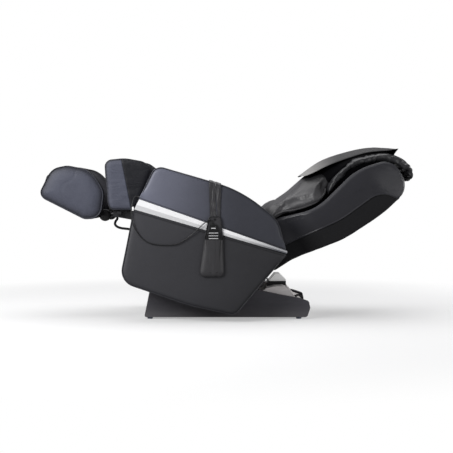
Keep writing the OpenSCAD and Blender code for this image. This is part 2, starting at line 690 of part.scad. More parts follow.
// The room inside the rear cover, drawn in by d
module cover_room(d) {
    intersection() {
        side_plate([for (p = outline(cover_corners)) p + (rear_wall + d) * [1, 1]], -320, 320);
        both_sides() plan_solid(3 + rear_wall + d);
    }
}
module back_rear_cover() {
    color([0.09, 0.09, 0.11]) in_back() difference() {
        intersection() {
            side_plate(outline(cover_corners), -320, 320);
            both_sides() plan_solid(3);
        }
        cover_room(0);
        // notches for the side plates of the frame
        both_sides() translate([0, upright_y[0] - 2, plate_v[0] - 6])
            cube([24, upright_y[1] - upright_y[0] + 4, 40]);
    }
}

plate_v = [-52, -14];
rail_mid_v = -70;
mech_u = [70, 690];
cross_v = -92;                              // under side of the end cross members
lever_tube = [0, -24];
back_lever_tip = turned(back_lever_at - hip, -back_angle);
module back_frame() {
    inner = upright_y[0] + 1;
    color([0.32, 0.32, 0.34]) in_back() {
        both_sides() {
            difference() {
                side_plate(outline([[-16, -20, 14], [60, plate_v[0], 30], [700, plate_v[0], 6], [700, plate_v[1], 6],
                                    [80, plate_v[1], 60], [10, 22, 14], [-22, 16, 14]]),
                           upright_y[0], upright_y[1]);
                bar_y(0, 0, pin_radius + running, upright_y[0] - 1, upright_y[1] + 1);
            }
            // brackets out to the side bands
            translate([110, upright_y[1] - 1, plate_v[0] + 4])
                cube([40, waist_half_width - band_thickness - gap - upright_y[1] + 1, 14]);
            for (u = [350, 600])
                translate([u, upright_y[1] - 1, plate_v[0] + 4])
                    cube([40, shoulder_half_width - band_thickness - gap - upright_y[1] + 1, 14]);
            // posts under the head roll
            translate([640, upright_y[0], plate_v[1] - 4]) cube([30, upright_y[1] - upright_y[0], post_height]);
        }
        // end cross members with the bearings of the lead screw
        for (u = mech_u + [-10, 0]) {
            translate([u - 12, -inner, cross_v]) cube([24, 2 * inner, 10]);
            for (s = [-1, 1]) translate([u - 12, s * inner - 4, cross_v]) cube([24, 8, 60]);
            difference() {
                translate([u - 12, -16, screw_v - 12]) cube([24, 32, cross_v - screw_v + 13]);
                translate([u - 13, 0, screw_v]) rotate([0, 90, 0]) cylinder(r = screw_radius + running, h = 26);
            }
        }
        // middle cross member behind the carriage, with feet on the rear cover
        translate([380, -inner, screw_v - 26]) cube([30, 2 * inner, 8]);
        for (s = [-1, 1]) translate([380, s * inner - 4, screw_v - 26]) cube([30, 8, 96]);
        intersection() {
            for (y = [-100, 60]) translate([380, y, -240]) cube([30, 40, 107]);
            cover_room(0.3);
        }
        // torsion tube and lever of the back motor
        bar_y(lever_tube[0], lever_tube[1], cross_tube, -inner, inner);
        for (y = [-24, 16]) lug(back_lever_tip, lever_tube, 11, cross_tube, y, y + 8);
        bar_y(back_lever_tip[0], back_lever_tip[1], eye_pin, -24, 24);
    }
}
post_height = 78.7;                         // from the plates up to the head roll

rail_at = 128;
rail_size = [12, 30];                       // thickness and height
slot = [7, 12];                             // depth and height of the guide slot
module roller_rails() {
    color([0.62, 0.63, 0.65]) in_back() both_sides() difference() {
        translate([mech_u[0] - 22, rail_at, rail_mid_v - rail_size[1] / 2 + 3])
            cube([mech_u[1] - mech_u[0] + 24, rail_size[0], rail_size[1]]);
        translate([mech_u[0] + 20, rail_at - 1, rail_mid_v + 3 - slot[1] / 2])
            cube([mech_u[1] - mech_u[0] - 50, slot[0] + 1, slot[1]]);
    }
}

screw_v = -108;
module lead_screw() {
    color([0.7, 0.7, 0.72]) in_back() translate([mech_u[0] - 20, 0, screw_v]) rotate([0, 90, 0])
        cylinder(r = screw_radius, h = mech_u[1] - mech_u[0] + 30);
}

carriage_u = 330;                           // middle of the carriage at rest
carriage_half = 62;
arm_v = rail_mid_v + 3;
module massage_carriage() {
    color([0.20, 0.20, 0.22]) in_back() translate([carriage_u, 0, 0]) {
        difference() {
            translate([-carriage_half, -(rail_at - 4), -100]) cube([2 * carriage_half, 2 * (rail_at - 4), 52]);
            // bay for the massage arms
            translate([-40, -92, -84]) cube([80, 184, 60]);
        }
        // nut block for the lead screw
        difference() {
            translate([-24, -18, -120]) cube([48, 36, 21]);
            translate([-30, 0, screw_v]) rotate([0, 90, 0]) cylinder(r = screw_radius + running, h = 60);
        }
        // guide rollers in the rails
        both_sides() for (u = [-44, 44])
            bar_y(u, arm_v, slot[1] / 2 - 0.3, rail_at - 5, rail_at + slot[0] - 1);
        // kneading shaft
        bar_y(0, arm_v, 9, -93, 93);
    }
}

arm_y = [48, 66];
roller_reach = [0, 54];
module massage_arm() {
    color([0.75, 0.72, 0.66]) in_back() translate([carriage_u, 0, arm_v]) difference() {
        union() {
            lug([0, 0], roller_reach, 15, 11, arm_y[0], arm_y[1]);
            bar_y(roller_reach[0], roller_reach[1], 5, arm_y[1] - 1, arm_y[1] + 28);
        }
        bar_y(0, 0, 9 + running, arm_y[0] - 1, arm_y[1] + 1);
    }
}
module massage_arm_left() mirror([0, 1, 0]) massage_arm();
module massage_arm_right() massage_arm();
module massage_roller() {
    w = 12;
    color([0.55, 0.42, 0.32]) in_back()
        translate([carriage_u + roller_reach[0], arm_y[1] + 14, arm_v + roller_reach[1]]) rotate([90, 0, 0])
            rotate_extrude() polygon(concat([[5 + running, -w], [12, -w]],
                [for (a = [-60 : 20 : 60]) [roller_radius - 9 + 9 * cos(a), w * 0.95 * sin(a) / sin(60)]],
                [[12, w], [5 + running, w]]));
}
module massage_roller_left() mirror([0, 1, 0]) massage_roller();
module massage_roller_right() massage_roller();

// ---------- soft parts of the back ----------

// Linear interpolation in a table of [station, value...]
function table(list, s, c) =
    s <= list[0][0] ? list[0][c] : s >= list[len(list) - 1][0] ? list[len(list) - 1][c] :
    let (i = [for (k = [0 : len(list) - 2]) if (list[k][0] <= s && s < list[k + 1][0]) k][0],
         t = (s - list[i][0]) / (list[i + 1][0] - list[i][0]))
    list[i][c] * (1 - t) + list[i + 1][c] * t;

// distance from the hip, half width, under side, top side
waist_pad = waist_half_width - band_thickness - 0.1;
shoulder_pad = shoulder_half_width - band_thickness - 0.1;
back_pad_form = [
    [34, waist_pad - 15, 84, 96], [40, waist_pad - 4, 62, 118], [60, waist_pad, 56, 128],
    [110, waist_pad, 62, 138], [136, waist_pad, 88, 144], [150, 234, 90, 146], [200, 240, 86, 148],
    [225, 246, 76, 140], [245, 250, 66, 146], [300, shoulder_pad - 2, 46, 140], [350, shoulder_pad, 34, 134],
    [368, shoulder_pad, 32, 126], [386, shoulder_pad, 34, 132], [430, 250, 44, 122], [440, 246, 50, 112],
    [447, 232, 58, 98], [450, 205, 66, 84]];
module back_pad() {
    color([0.16, 0.16, 0.17]) in_back()
        loft([for (r = back_pad_form) pad_ring(r[0], r[1], r[2], r[3], 14, 26)]);
}

// A padded sheet along a path of [u, v, half width, half thickness]
module path_pad(path, n, squareness) {
    mid = [for (h = path) [h[0], h[1]]];
    last = len(path) - 1;
    function across(i) = left_of(unit(mid[min(i + 1, last)] - mid[max(i - 1, 0)]));
    function ring(i) = let (h = path[i], o = across(i))
        [for (k = [0 : n - 1])
            let (a = -360 * (k + 0.5) / n, c = cos(a), s = sin(a),
                 y = h[2] * sign(c) * pow(abs(c), squareness),
                 t = h[3] * sign(s) * pow(abs(s), 0.6) + (s > 0 ? h[3] / 5 * (1 - pow(y / h[2], 2)) : 0))
            [mid[i][0] + o[0] * t, y, mid[i][1] + o[1] * t]];
    loft([for (i = [0 : last]) ring(i)]);
}

// the roll that climbs from the shoulders over the top of the back
head_path = [
    [456, 86, 190, 6], [464, 93, 216, 16], [490, 104, 232, 22], [530, 112, 240, 24], [580, 110, 244, 24],
    [630, 98, 244, 24], [680, 80, 240, 24], [730, 56, 230, 22], [775, 26, 217, 20], [806, -12, 214, 18],
    [820, -50, 212, 16], [824, -84, 210, 17], [820, -112, 206, 15], [812, -130, 196, 5]];
module head_cover() {
    color([0.22, 0.22, 0.22]) in_back() path_pad(head_path, 24, 0.45);
}

// thin pad with sharp ends, turned down to the roll where it is sewn on
flap_path = [
    [384, 177, 150, 1], [400, 172, 172, 6], [440, 160, 190, 14], [500, 156, 200, 17], [560, 155.5, 204, 12.5],
    [620, 145.5, 204, 12.5], [680, 127, 202, 14], [730, 104, 198, 16], [780, 76, 190, 15], [818, 52, 182, 9],
    [842, 30, 174, 4], [846, 14, 170, 3], [837, 2, 168, 2.4], [825.7, -3.3, 166, 1.8]];
module pillow_flap() {
    color([0.55, 0.55, 0.54]) in_back() path_pad(flap_path, 20, 0.6);
}

// ---------- leg unit ----------

leg_inner = leg_half_width - leg_wall;
leg_top = 29;                               // top of the leg frame
calf_floor = [leg_top, 58];                 // under side and top of the calf pan
calf_corners = [
    [-156, 29, 26], [-34, 29, 20], [-6, 62, 60], [44, 236, 22], [-2, 270, 60], [-90, 286, 200],
    [-188, 276, 34], [-174, 70, 90]];
foot_corners = [
    [-516, 100, 38], [-287, -14, 50], [-200, -5, 74], [-205, 215, 118], [-345, 250, 120], [-455, 240, 80]];
leg_edge = 18;

module calf_wall() {
    color([0.34, 0.35, 0.40]) in_leg() padded_slab(calf_corners, leg_inner, leg_half_width, leg_edge);
}
module calf_wall_left() mirror([0, 1, 0]) calf_wall();
module calf_wall_right() calf_wall();
module calf_divider() {
    top = [[-150, calf_floor[1] + gap, 8], [-20, calf_floor[1] + gap, 8], [10, 200, 30], [-40, 232, 40],
           [-130, 236, 40], [-160, 200, 30]];
    color([0.14, 0.14, 0.15]) in_leg() padded_slab(top, -divider_half, divider_half, 14);
}
module calf_pan() {
    half = leg_inner - 0.3;
    color([0.14, 0.14, 0.15]) in_leg()
        side_plate(outline([[-156, calf_floor[0], 6], [-22, calf_floor[0], 6], [-10, calf_floor[1], 10],
                            [-166, calf_floor[1], 10]]), -half, half);
}

slide_y = 66;
slide_radius = 8;
leg_tip = turned(leg_lever_at - knee, -seat_tilt);
module slide_holes() {
    both_sides() translate([-160, slide_y, hub[1]]) rotate([0, 90, 0])
        cylinder(r = slide_radius + running, h = 140);
}
module leg_frame() {
    color([0.30, 0.30, 0.32]) in_leg() {
        both_sides() {
            difference() {
                union() {
                    bar_y(0, 0, 20, upright_y[0], upright_y[1]);
                    side_plate([[0, -18], [0, 18], [-24, leg_top], [-150, leg_top], [-150, 4], [-60, -12]],
                               upright_y[0], upright_y[1]);
                }
                bar_y(0, 0, knee_pin_radius + running, upright_y[0] - 1, upright_y[1] + 1);
            }
            // carriers of the side walls
            for (u = [-130, -60])
                translate([u, upright_y[1] - 1, leg_top - 14]) cube([22, 30, 14]);
        }
        // cross members and guide tubes of the foot slide
        difference() {
            union() {
                for (u = [-148, -52])
                    translate([u, -upright_y[0] - 1, hub[1] - 4])
                        cube([20, 2 * upright_y[0] + 2, leg_top - hub[1] + 4]);
                both_sides() translate([-150, slide_y, hub[1]]) rotate([0, 90, 0]) cylinder(r = 12, h = 118);
            }
            slide_holes();
        }
        // lever of the leg motor and its pin
        for (y = [-24, 16]) lug(leg_tip, [-42, hub[1]], 12, 10, y, y + 8);
        bar_y(leg_tip[0], leg_tip[1], eye_pin, -24, 24);
        // hose fitting
        translate([-138, hose_y, hub[1] - 12]) cylinder(r = hose_fitting, h = 9);
    }
}

module foot_slide() {
    color([0.35, 0.35, 0.37]) in_leg() difference() {
        union() {
            bar_y(hub[0], hub[1], 14, -120, 120);
            both_sides() translate([hub[0], slide_y, hub[1]]) rotate([0, 90, 0])
                cylinder(r = slide_radius, h = 160);
        }
        bar_y(hub[0], hub[1], hub_shaft + running, -121, 121);
    }
}
hub_shaft = 7;

sole_heel = [-226, 26];
sole_bend = [-300, 30];
sole_toe = [-440, 98];
module foot_sole() {
    half = leg_inner - 0.3;
    color([0.14, 0.14, 0.15]) in_leg() {
        side_plate(outline([[-508, 118, 20], [-478, 84, 20], [-300, -6, 30], [-226, -6, 16], [each sole_heel, 8],
                            [each sole_bend, 40], [each sole_toe, 30], [-452, 214, 12], [-478, 206, 16]]),
                   -half, half);
        // hub shaft with its side discs
        bar_y(hub[0], hub[1], hub_shaft, -140, 140);
        both_sides() {
            bar_y(hub[0], hub[1], hub_radius, 126, 150);
            side_plate([hub + [0, -20], hub + [-40, -14], hub + [-40, 14], hub + [0, 20]], 126, 150);
        }
    }
}
module foot_wall() {
    color([0.34, 0.35, 0.40]) in_leg() padded_slab(foot_corners, leg_inner, leg_half_width, leg_edge);
}
module foot_wall_left() mirror([0, 1, 0]) foot_wall();
module foot_wall_right() foot_wall();
module foot_divider() {
    lift = 0.6;
    color([0.14, 0.14, 0.15]) in_leg() padded_slab(
        [[sole_toe[0], sole_toe[1] + lift, 36], [sole_bend[0], sole_bend[1] + lift, 40],
         [-240, 27 + lift, 20], [-250, 150, 40], [-330, 200, 60], [-440, 196, 20]],
        -divider_half, divider_half, 12);
}

// ---------- motors ----------

rod_radius = 9;
rod_eye = 8.2;                              // wide, so that the rod can float on its pin
module along(a, b) {
    d = unit(b - a);
    translate([a[0], 0, a[1]]) rotate([0, -atan2(d[1], d[0]), 0]) children();
}
// Housing from its trunnion at a towards b, with the gear motor at its side
module motor_housing(a, b, length) {
    along(a, b) difference() {
        union() {
            translate([20, 0, 0]) rotate([0, 90, 0]) cylinder(r = 19, h = length - 20);
            translate([0, -12, -12]) cube([24, 24, 24]);
            bar_y(0, 0, 12, -19.7, 19.7);
            bar_y(0, 0, trunnion, -27, 27);
            translate([34, 14, -16]) cube([62, 26, 32]);
        }
        translate([40, 0, 0]) rotate([0, 90, 0]) cylinder(r = rod_radius + running, h = length);
    }
}
// Rod from start, inside the housing, to its eye at b
module motor_rod(a, b, start) {
    reach = norm(b - a);
    along(a, b) difference() {
        union() {
            translate([start, 0, 0]) rotate([0, 90, 0]) cylinder(r = rod_radius, h = reach - start - 8);
            bar_y(reach, 0, 13, -13, 13);
        }
        bar_y(reach, 0, rod_eye, -14, 14);
    }
}

motor_black = [0.12, 0.12, 0.13];
rod_steel = [0.75, 0.76, 0.78];
module seat_actuator() color(motor_black)
    motor_housing(seat_motor_foot, seat_to_chair(seat_lug), 130);
module seat_actuator_rod() color(rod_steel)
    motor_rod(seat_motor_foot, seat_to_chair(seat_lug), 100);
module leg_actuator() color(motor_black)
    in_seat() motor_housing(leg_motor_pin, leg_lever_at, 190);
module leg_actuator_rod() color(rod_steel)
    in_seat() motor_rod(leg_motor_pin, leg_lever_at, 110);
module back_actuator() color(motor_black)
    in_seat() motor_housing(back_motor_pin, back_lever_at, 135);
module back_actuator_rod() color(rod_steel)
    in_seat() motor_rod(back_motor_pin, back_lever_at, 80);

// ---------- air hose ----------

hose_radius = 6;
hose_route = [
    [-541, -110, 489.6], [-542, -110, 482], [-549, -110, 472], [-553, -110, 460], [-546, -110, 446],
    [-528, -110, 433], [-502, -110, 424], [-474, -110, 417], [-450, -110, 413.4], [-431.9, -110, 413.1]];
module leg_air_hose() {
    color([0.06, 0.06, 0.06]) tube(smooth_path(hose_route, 2), hose_radius, 8);
}

base_chassis();
base_skirts();
base_front_cover();
base_rear_cover();
base_feet();
transport_wheel_left();
transport_wheel_right();
control_box();
control_box_lid();
air_pump();
power_switch();
cord_gland();
mains_cord();
cord_coil();
mains_plug();
seat_frame();
seat_cushion();
arm_shell_left();
arm_shell_right();
arm_pad_left();
arm_pad_right();
arm_trims();
arm_strap();
remote_pouch();
remote_handset();
remote_button_1();
remote_button_2();
remote_button_3();
remote_gland();
remote_cord();
back_frame();
back_bands();
back_rear_cover();
roller_rails();
lead_screw();
massage_carriage();
massage_arm_left();
massage_arm_right();
massage_roller_left();
massage_roller_right();
back_pad();
head_cover();
pillow_flap();
leg_frame();
calf_pan();
calf_wall_left();
calf_wall_right();
calf_divider();
foot_slide();
foot_sole();
foot_wall_left();
foot_wall_right();
foot_divider();
seat_actuator();
seat_actuator_rod();
leg_actuator();
leg_actuator_rod();
back_actuator();
back_actuator_rod();
leg_air_hose();
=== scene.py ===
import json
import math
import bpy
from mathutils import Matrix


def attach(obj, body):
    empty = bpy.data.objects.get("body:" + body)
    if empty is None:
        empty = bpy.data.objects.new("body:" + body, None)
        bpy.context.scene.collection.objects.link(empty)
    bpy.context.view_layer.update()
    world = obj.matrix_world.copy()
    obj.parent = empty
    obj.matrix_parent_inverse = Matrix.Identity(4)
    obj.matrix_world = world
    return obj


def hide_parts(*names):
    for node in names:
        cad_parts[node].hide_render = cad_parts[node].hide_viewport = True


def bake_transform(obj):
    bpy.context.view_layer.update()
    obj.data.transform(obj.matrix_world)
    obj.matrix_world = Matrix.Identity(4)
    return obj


bl_info = {
    "name": "Massage Chair",
    "version": (1, 0, 0),
    "blender": (4, 5, 0),
    "location": "View3D > Sidebar > Massage Chair",
    "description": "Upholstery, finishes, cords and studio for a reclining massage chair on its packed frame",
    "category": "Object",
}

import bpy
import numpy as np
from bpy.props import FloatProperty, FloatVectorProperty, PointerProperty

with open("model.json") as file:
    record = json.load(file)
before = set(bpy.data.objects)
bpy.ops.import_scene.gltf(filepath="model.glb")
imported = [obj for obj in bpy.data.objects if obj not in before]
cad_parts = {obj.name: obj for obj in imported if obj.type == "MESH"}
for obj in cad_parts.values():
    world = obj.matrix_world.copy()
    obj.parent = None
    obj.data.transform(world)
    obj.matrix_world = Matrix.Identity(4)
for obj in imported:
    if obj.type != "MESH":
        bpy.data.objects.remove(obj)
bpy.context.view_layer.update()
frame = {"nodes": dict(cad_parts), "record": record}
MM = 0.001

# The chair's own frames and widths, in millimetres: X towards the head, Z up
SEAT_TILT = 19.3
BACK_ANGLE = 53.3
SEAT_PIVOT = np.array([-110.0, 210.0])
HIP = np.array([206.0, 199.0])
KNEE = np.array([-370.0, 170.0])
ARM_INNER, ARM_OUTER = 248.0, 392.0
LEG_INNER, LEG_OUTER = 166.0, 236.0
DIVIDER_HALF = 28.0
BAND_THICKNESS = 34.0
SIDES = (("left", -1), ("right", 1))


# ---------------------------------------------------------------- plane geometry


def turned(p, degrees):
    """Points turned anticlockwise about the origin: (x cos a - y sin a, x sin a + y cos a)."""
    a = math.radians(degrees)
    p = np.asarray(p, float)
    return np.stack([p[..., 0] * math.cos(a) - p[..., 1] * math.sin(a),
                     p[..., 0] * math.sin(a) + p[..., 1] * math.cos(a)], -1)


def in_seat(p):
    """Seat frame to chair: turned back by the seat's tilt about the seat pivot."""
    return SEAT_PIVOT + turned(p, -SEAT_TILT)


def in_back(p):
    """Back frame to chair: turned up by the back's angle about the hip, then as the seat."""
    return in_seat(HIP + turned(p, BACK_ANGLE))


def in_leg(p):
    """Leg frame to chair: moved to the knee."""
    return in_seat(KNEE) + np.asarray(p, float)


def in_chair(p):
    """The chair's own frame, unchanged."""
    return np.asarray(p, float)


def placed(points, to_chair):
    """Points (along, across, up) of one frame carried to the chair's X, Y, Z."""
    xz = to_chair(points[..., [0, 2]])
    return xyz(xz[..., 0], points[..., 1], xz[..., 1])


def seat_local(p):
    """Seat coordinates (along, up) of chair points."""
    return turned(p[:, [0, 2]] - SEAT_PIVOT, SEAT_TILT)


def back_local(p):
    """Back coordinates of chair points, with the distance across kept."""
    q = turned(seat_local(p) - HIP, -BACK_ANGLE)
    return xyz(q[:, 0], p[:, 1], q[:, 1])


def xyz(x, y, z):
    """Points from their three coordinates, each of them one number or an array."""
    return np.stack(np.broadcast_arrays(x, y, z), -1)


def unit(v):
    """Vectors divided by their lengths."""
    return v / np.maximum(np.linalg.norm(v, axis=-1, keepdims=True), 1e-9)


def left_of(v):
    """Directions in a plane, turned a quarter turn anticlockwise: (-y, x)."""
    return np.stack([-v[..., 1], v[..., 0]], -1)


def inward(line):
    """The direction into a closed anticlockwise outline at each of its points."""
    return left_of(unit(np.roll(line, -1, 0) - np.roll(line, 1, 0)))


def travelled(p):
    """How far along a line each of its points is."""
    return np.concatenate([[0], np.cumsum(np.linalg.norm(np.diff(p, axis=0), axis=1))])


def around(count):
    """Cosines and sines of so many angles, clockwise round a circle."""
    a = -2 * np.pi * (np.arange(count) + 0.5) / count
    return np.cos(a), np.sin(a)


def powered(v, power):
    """|v| to a power, with the sign of v."""
    return np.sign(v) * np.abs(v) ** power


def corner_outline(corners, steps=9):
    """A closed outline from corners (x, z, radius): each corner is the arc that touches both its sides."""
    c = np.asarray(corners, float)
    p, r = c[:, :2], np.maximum(c[:, 2], 0.5)
    d1, d2 = unit(p - np.roll(p, 1, 0)), unit(np.roll(p, -1, 0) - p)
    turn = np.arctan2(d1[:, 0] * d2[:, 1] - d1[:, 1] * d2[:, 0], (d1 * d2).sum(1))
    start = p - d1 * (r * np.tan(np.abs(turn) / 2))[:, None]
    centre = start + left_of(d1) * (r * np.sign(turn))[:, None]
    a = turn[:, None] * np.linspace(0, 1, steps)
    out = (start - centre)[:, None, :]
    arc = np.stack([out[..., 0] * np.cos(a) - out[..., 1] * np.sin(a),
                    out[..., 0] * np.sin(a) + out[..., 1] * np.cos(a)], -1)
    return (centre[:, None, :] + arc).reshape(-1, 2)


def even(points, count, closed=True):
    """The same line with so many points at even distances along it."""
    p = np.asarray(points, float)
    if closed:
        p = np.vstack([p, p[:1]])
    s = travelled(p)
    at = np.linspace(0, s[-1], count, endpoint=not closed)
    return np.stack([np.interp(at, s, p[:, k]) for k in range(p.shape[1])], 1)


def smooth_rows(rows, steps):
    """Catmull-Rom through the rows of a table, so many steps a span."""
    p = np.asarray(rows, float)
    q = np.vstack([p[:1], p, p[-1:]])
    a, b, c, d = (q[i:len(q) - 3 + i, None, :] for i in range(4))
    t = (np.arange(steps) / steps)[None, :, None]
    spans = 0.5 * (2 * b + (c - a) * t + (2 * a - 5 * b + 4 * c - d) * t**2
                   + (3 * b - a - 3 * c + d) * t**3)
    return np.vstack([spans.reshape(-1, p.shape[1]), p[-1:]])


def edge_distance(points, line):
    """Least distance from each point to a closed line."""
    a, b = line, np.roll(line, -1, 0)
    ab = b - a
    length2 = np.maximum((ab**2).sum(1), 1e-9)
    nearest = np.full(len(points), 1e9)
    for part in np.array_split(np.arange(len(line)), min(12, len(line))):
        ap = points[:, None, :] - a[part]
        t = np.clip((ap * ab[part]).sum(2) / length2[part], 0, 1)
        nearest = np.minimum(nearest, np.linalg.norm(ap - t[..., None] * ab[part], axis=2).min(1))
    return nearest


def rise(x, width):
    """0 below 0, 1 beyond width, and 3t^2 - 2t^3 between."""
    t = np.clip(np.asarray(x, float) / width, 0, 1)
    return t * t * (3 - 2 * t)


# ---------------------------------------------------------------- random fields


def soft_noise(p, size, seed):
    """Random values at the points of a grid of the given size, blended by 3t^2 - 2t^3, from -1 to 1."""
    q = np.asarray(p, float) / size
    cell = np.floor(q).astype(np.int64)
    t = q - cell
    w = t * t * (3 - 2 * t)
    total = np.zeros(q.shape[:-1])
    for corner in range(8):
        o = np.array([corner & 1, corner >> 1 & 1, corner >> 2 & 1])
        c = (cell + o).astype(np.uint64)
        h = c[..., 0] * np.uint64(374761393) + c[..., 1] * np.uint64(668265263) \
            + c[..., 2] * np.uint64(2246822519) + np.uint64(seed * 3266489917)
        h = (h ^ (h >> np.uint64(13))) * np.uint64(1274126177)
        h = (h ^ (h >> np.uint64(16))) & np.uint64(0xFFFFFF)
        share = np.where(o == 1, w, 1 - w).prod(-1)
        total += share * (h.astype(float) / 0xFFFFFF)
    return 2 * total - 1


def creases(p, size, seed, width=0.13):
    """Thin valleys where a soft field crosses zero: -exp(-(field / width)^2)."""
    bent = p + 0.35 * np.asarray(size) * soft_noise(p, np.asarray(size) * 1.7, seed + 7)[..., None]
    return -np.exp(-(soft_noise(bent, size, seed) / width) ** 2)


# ---------------------------------------------------------------- meshes


def volume_of(points, faces):
    """Signed volume: a sixth of the sum of a . (b x c) over the faces' triangles."""
    tri = np.concatenate([faces[:, [0, 1, 2]], faces[:, [0, 2, 3]]])
    a, b, c = (points[tri[:, k]] for k in range(3))
    return (a * np.cross(b, c)).sum() / 6


def add_mesh(name, points, faces, outward=True):
    """A smooth mesh from points in millimetres and faces of four corners, one of them repeated in a
    triangle."""
    points = np.asarray(points, float)
    faces = np.asarray(faces, np.int64)
    if outward and volume_of(points - points.mean(0), faces) < 0:
        faces = faces[:, ::-1]
    mesh = bpy.data.meshes.new(name)
    same = faces == np.roll(faces, -1, 1)
    keep = ~same
    sizes = keep.sum(1)
    mesh.vertices.add(len(points))
    mesh.vertices.foreach_set("co", (points * MM).ravel())
    mesh.loops.add(int(sizes.sum()))
    mesh.loops.foreach_set("vertex_index", faces[keep].astype(np.int32))
    mesh.polygons.add(len(faces))
    mesh.polygons.foreach_set("loop_start", np.concatenate([[0], np.cumsum(sizes)[:-1]]).astype(np.int32))
    mesh.polygons.foreach_set("use_smooth", np.ones(len(faces), bool))
    mesh.update(calc_edges=True)
    mesh.validate()
    obj = bpy.data.objects.new(name, mesh)
    bpy.context.scene.collection.objects.link(obj)
    return obj


def grid_faces(rows, columns, wrap=True, ring=False):
    """Faces between neighbouring rows of a grid. wrap joins the last column to the first, ring the rows."""
    i = np.arange(rows if ring else rows - 1)[:, None]
    j = np.arange(columns if wrap else columns - 1)[None, :]
    here, after = i * columns, (i + 1) % rows * columns
    k = (j + 1) % columns
    return np.stack(np.broadcast_arrays(here + j, here + k, after + k, after + j), -1).reshape(-1, 4)


def add_loft(name, rings):
    """A skin over closed rings (ring, point, xyz); each end is a fan to the ring's middle."""
    m, n, _ = rings.shape
    points = np.vstack([rings.reshape(-1, 3), rings[0].mean(0), rings[-1].mean(0)])
    j = np.arange(n)
    k = (j + 1) % n
    low, high, last = np.full(n, m * n), np.full(n, m * n + 1), (m - 1) * n
    fans = [np.stack([low, low, k, j], 1), np.stack([high, high, last + j, last + k], 1)]
    return add_mesh(name, points, np.vstack([grid_faces(m, n), *fans]))


def add_sheet(name, grid, thickness=0.0):
    """An open sheet over a grid of points, given its wall by Solidify."""
    m, n, _ = grid.shape
    obj = add_mesh(name, grid.reshape(-1, 3), grid_faces(m, n, wrap=False), outward=False)
    if thickness:
        wall = obj.modifiers.new("wall", "SOLIDIFY")
        wall.thickness = thickness * MM
        wall.offset = 0.0
    return obj


def set_points(obj, points):
    """Moves the mesh's points, in millimetres."""
    obj.data.vertices.foreach_set("co", (points * MM).astype(np.float32).ravel())
    obj.data.update()


def vectors_of(mesh, kind):
    """A vector of each of a mesh's points."""
    values = np.zeros(len(mesh.vertices) * 3, np.float32)
    mesh.vertices.foreach_get(kind, values)
    return values.reshape(-1, 3)


def points_of(obj):
    """The mesh's points in millimetres."""
    return vectors_of(obj.data, "co").astype(float) / MM


def normals_of(obj):
    """The mesh's point normals."""
    return vectors_of(obj.data, "normal").astype(float)


def swell(obj, field):
    """Moves each point along its normal by field(points), in millimetres."""
    p = points_of(obj)
    set_points(obj, p + normals_of(obj) * field(p)[:, None])


def rumple(obj, wave, crease, lift):
    """Swells a skin by broad waves and thin creases, each given as (height, size, seed), and by a lift."""
    swell(obj, lambda p: wave[0] * soft_noise(p, *wave[1:]) + crease[0] * creases(p, *crease[1:]) + lift)


def slab_rings(corners, y0, y1, edge, centre, samples, face_rings, edge_steps=6, seam=None, via=None):
    """A padded slab: the outline draws in by edge * (1 - sin a) while it turns to the face by
    edge * (1 - cos a). Each face then closes on its centre. seam gives the edge's radius at each outline
    point instead. via is (x, z, start, width): beyond start the way to the centre is a quadratic curve
    past that point."""
    line = even(corner_outline(corners), samples)
    side = inward(line)
    e = np.full(samples, float(edge)) if seam is None else seam(line)
    a = np.radians(np.linspace(0, 90, edge_steps + 1))
    centre = np.asarray(centre, float)
    inner = line + side * e[:, None]
    t = np.linspace(0.02, 1, face_rings, endpoint=False) ** 0.8
    middle = (centre + inner) / 2
    if via:
        middle += (np.array(via[:2]) - middle) * rise(line[:, :1] - via[2], via[3])
    t = t[:, None, None]
    face = (1 - t) ** 2 * centre + 2 * t * (1 - t) * middle + t**2 * inner
    turn = line + side * (e[:, None] * (1 - np.sin(a))[:, None, None])
    depth = e * (1 - np.cos(a))[:, None]

    def ring(xz, y):
        return xyz(xz[..., 0], y, xz[..., 1])
    low = np.concatenate([ring(face, y0), ring(turn, y0 + depth)])
    high = np.concatenate([ring(turn, y1 - depth)[::-1], ring(face, y1)[::-1]])
    return np.concatenate([low, high]), line


def add_slab(name, corners, y0, y1, edge, centre, to_chair, draw=0.0, draw_width=30.0, shift=None, **how):
    """A padded slab in the chair. Its faces draw in towards the edge by a quarter ellipse:
    draw * (1 - sqrt(1 - (1 - d / draw_width)^2)) at distance d from the edge.
    shift(along) moves it across, as where a band follows the back's plan."""
    y0, y1 = sorted((y0, y1))
    rings, line = slab_rings(corners, y0, y1, edge, centre, **how)
    flat = rings.reshape(-1, 3)
    d = edge_distance(flat[:, [0, 2]], line)
    middle = (y0 + y1) / 2
    near = np.clip(1 - d / draw_width, 0, 1)
    flat[:, 1] -= np.sign(flat[:, 1] - middle) * draw * (1 - np.sqrt(1 - near**2)) * rise(d, edge * 0.5)
    if shift is not None:
        flat[:, 1] += shift(flat[:, 0])
    return add_loft(name, placed(flat, to_chair).reshape(rings.shape))


def tube_points(path, radius, sides, scale=None):
    """Rings of a round tube: the side vector is carried along the path and kept square to it."""
    p = np.asarray(path, float)
    t = unit(np.gradient(p, axis=0))
    side = np.zeros_like(p)
    side[0] = unit(np.cross(t[0], [0.0, 1.0, 0.02]))
    for i in range(1, len(p)):
        side[i] = unit(side[i - 1] - t[i] * (side[i - 1] @ t[i]))
    other = np.cross(t, side)
    a = 2 * np.pi * np.arange(sides) / sides
    r = radius * (np.ones(len(p)) if scale is None else scale)
    return p[:, None] + r[:, None, None] * (np.cos(a)[None, :, None] * side[:, None]
                                            + np.sin(a)[None, :, None] * other[:, None])


TUBE_SIDES = 8


def add_tube(name, path, radius, sides=TUBE_SIDES, scale=None):
    """A closed round tube along a path."""
    return add_loft(name, tube_points(path, radius, sides, scale))


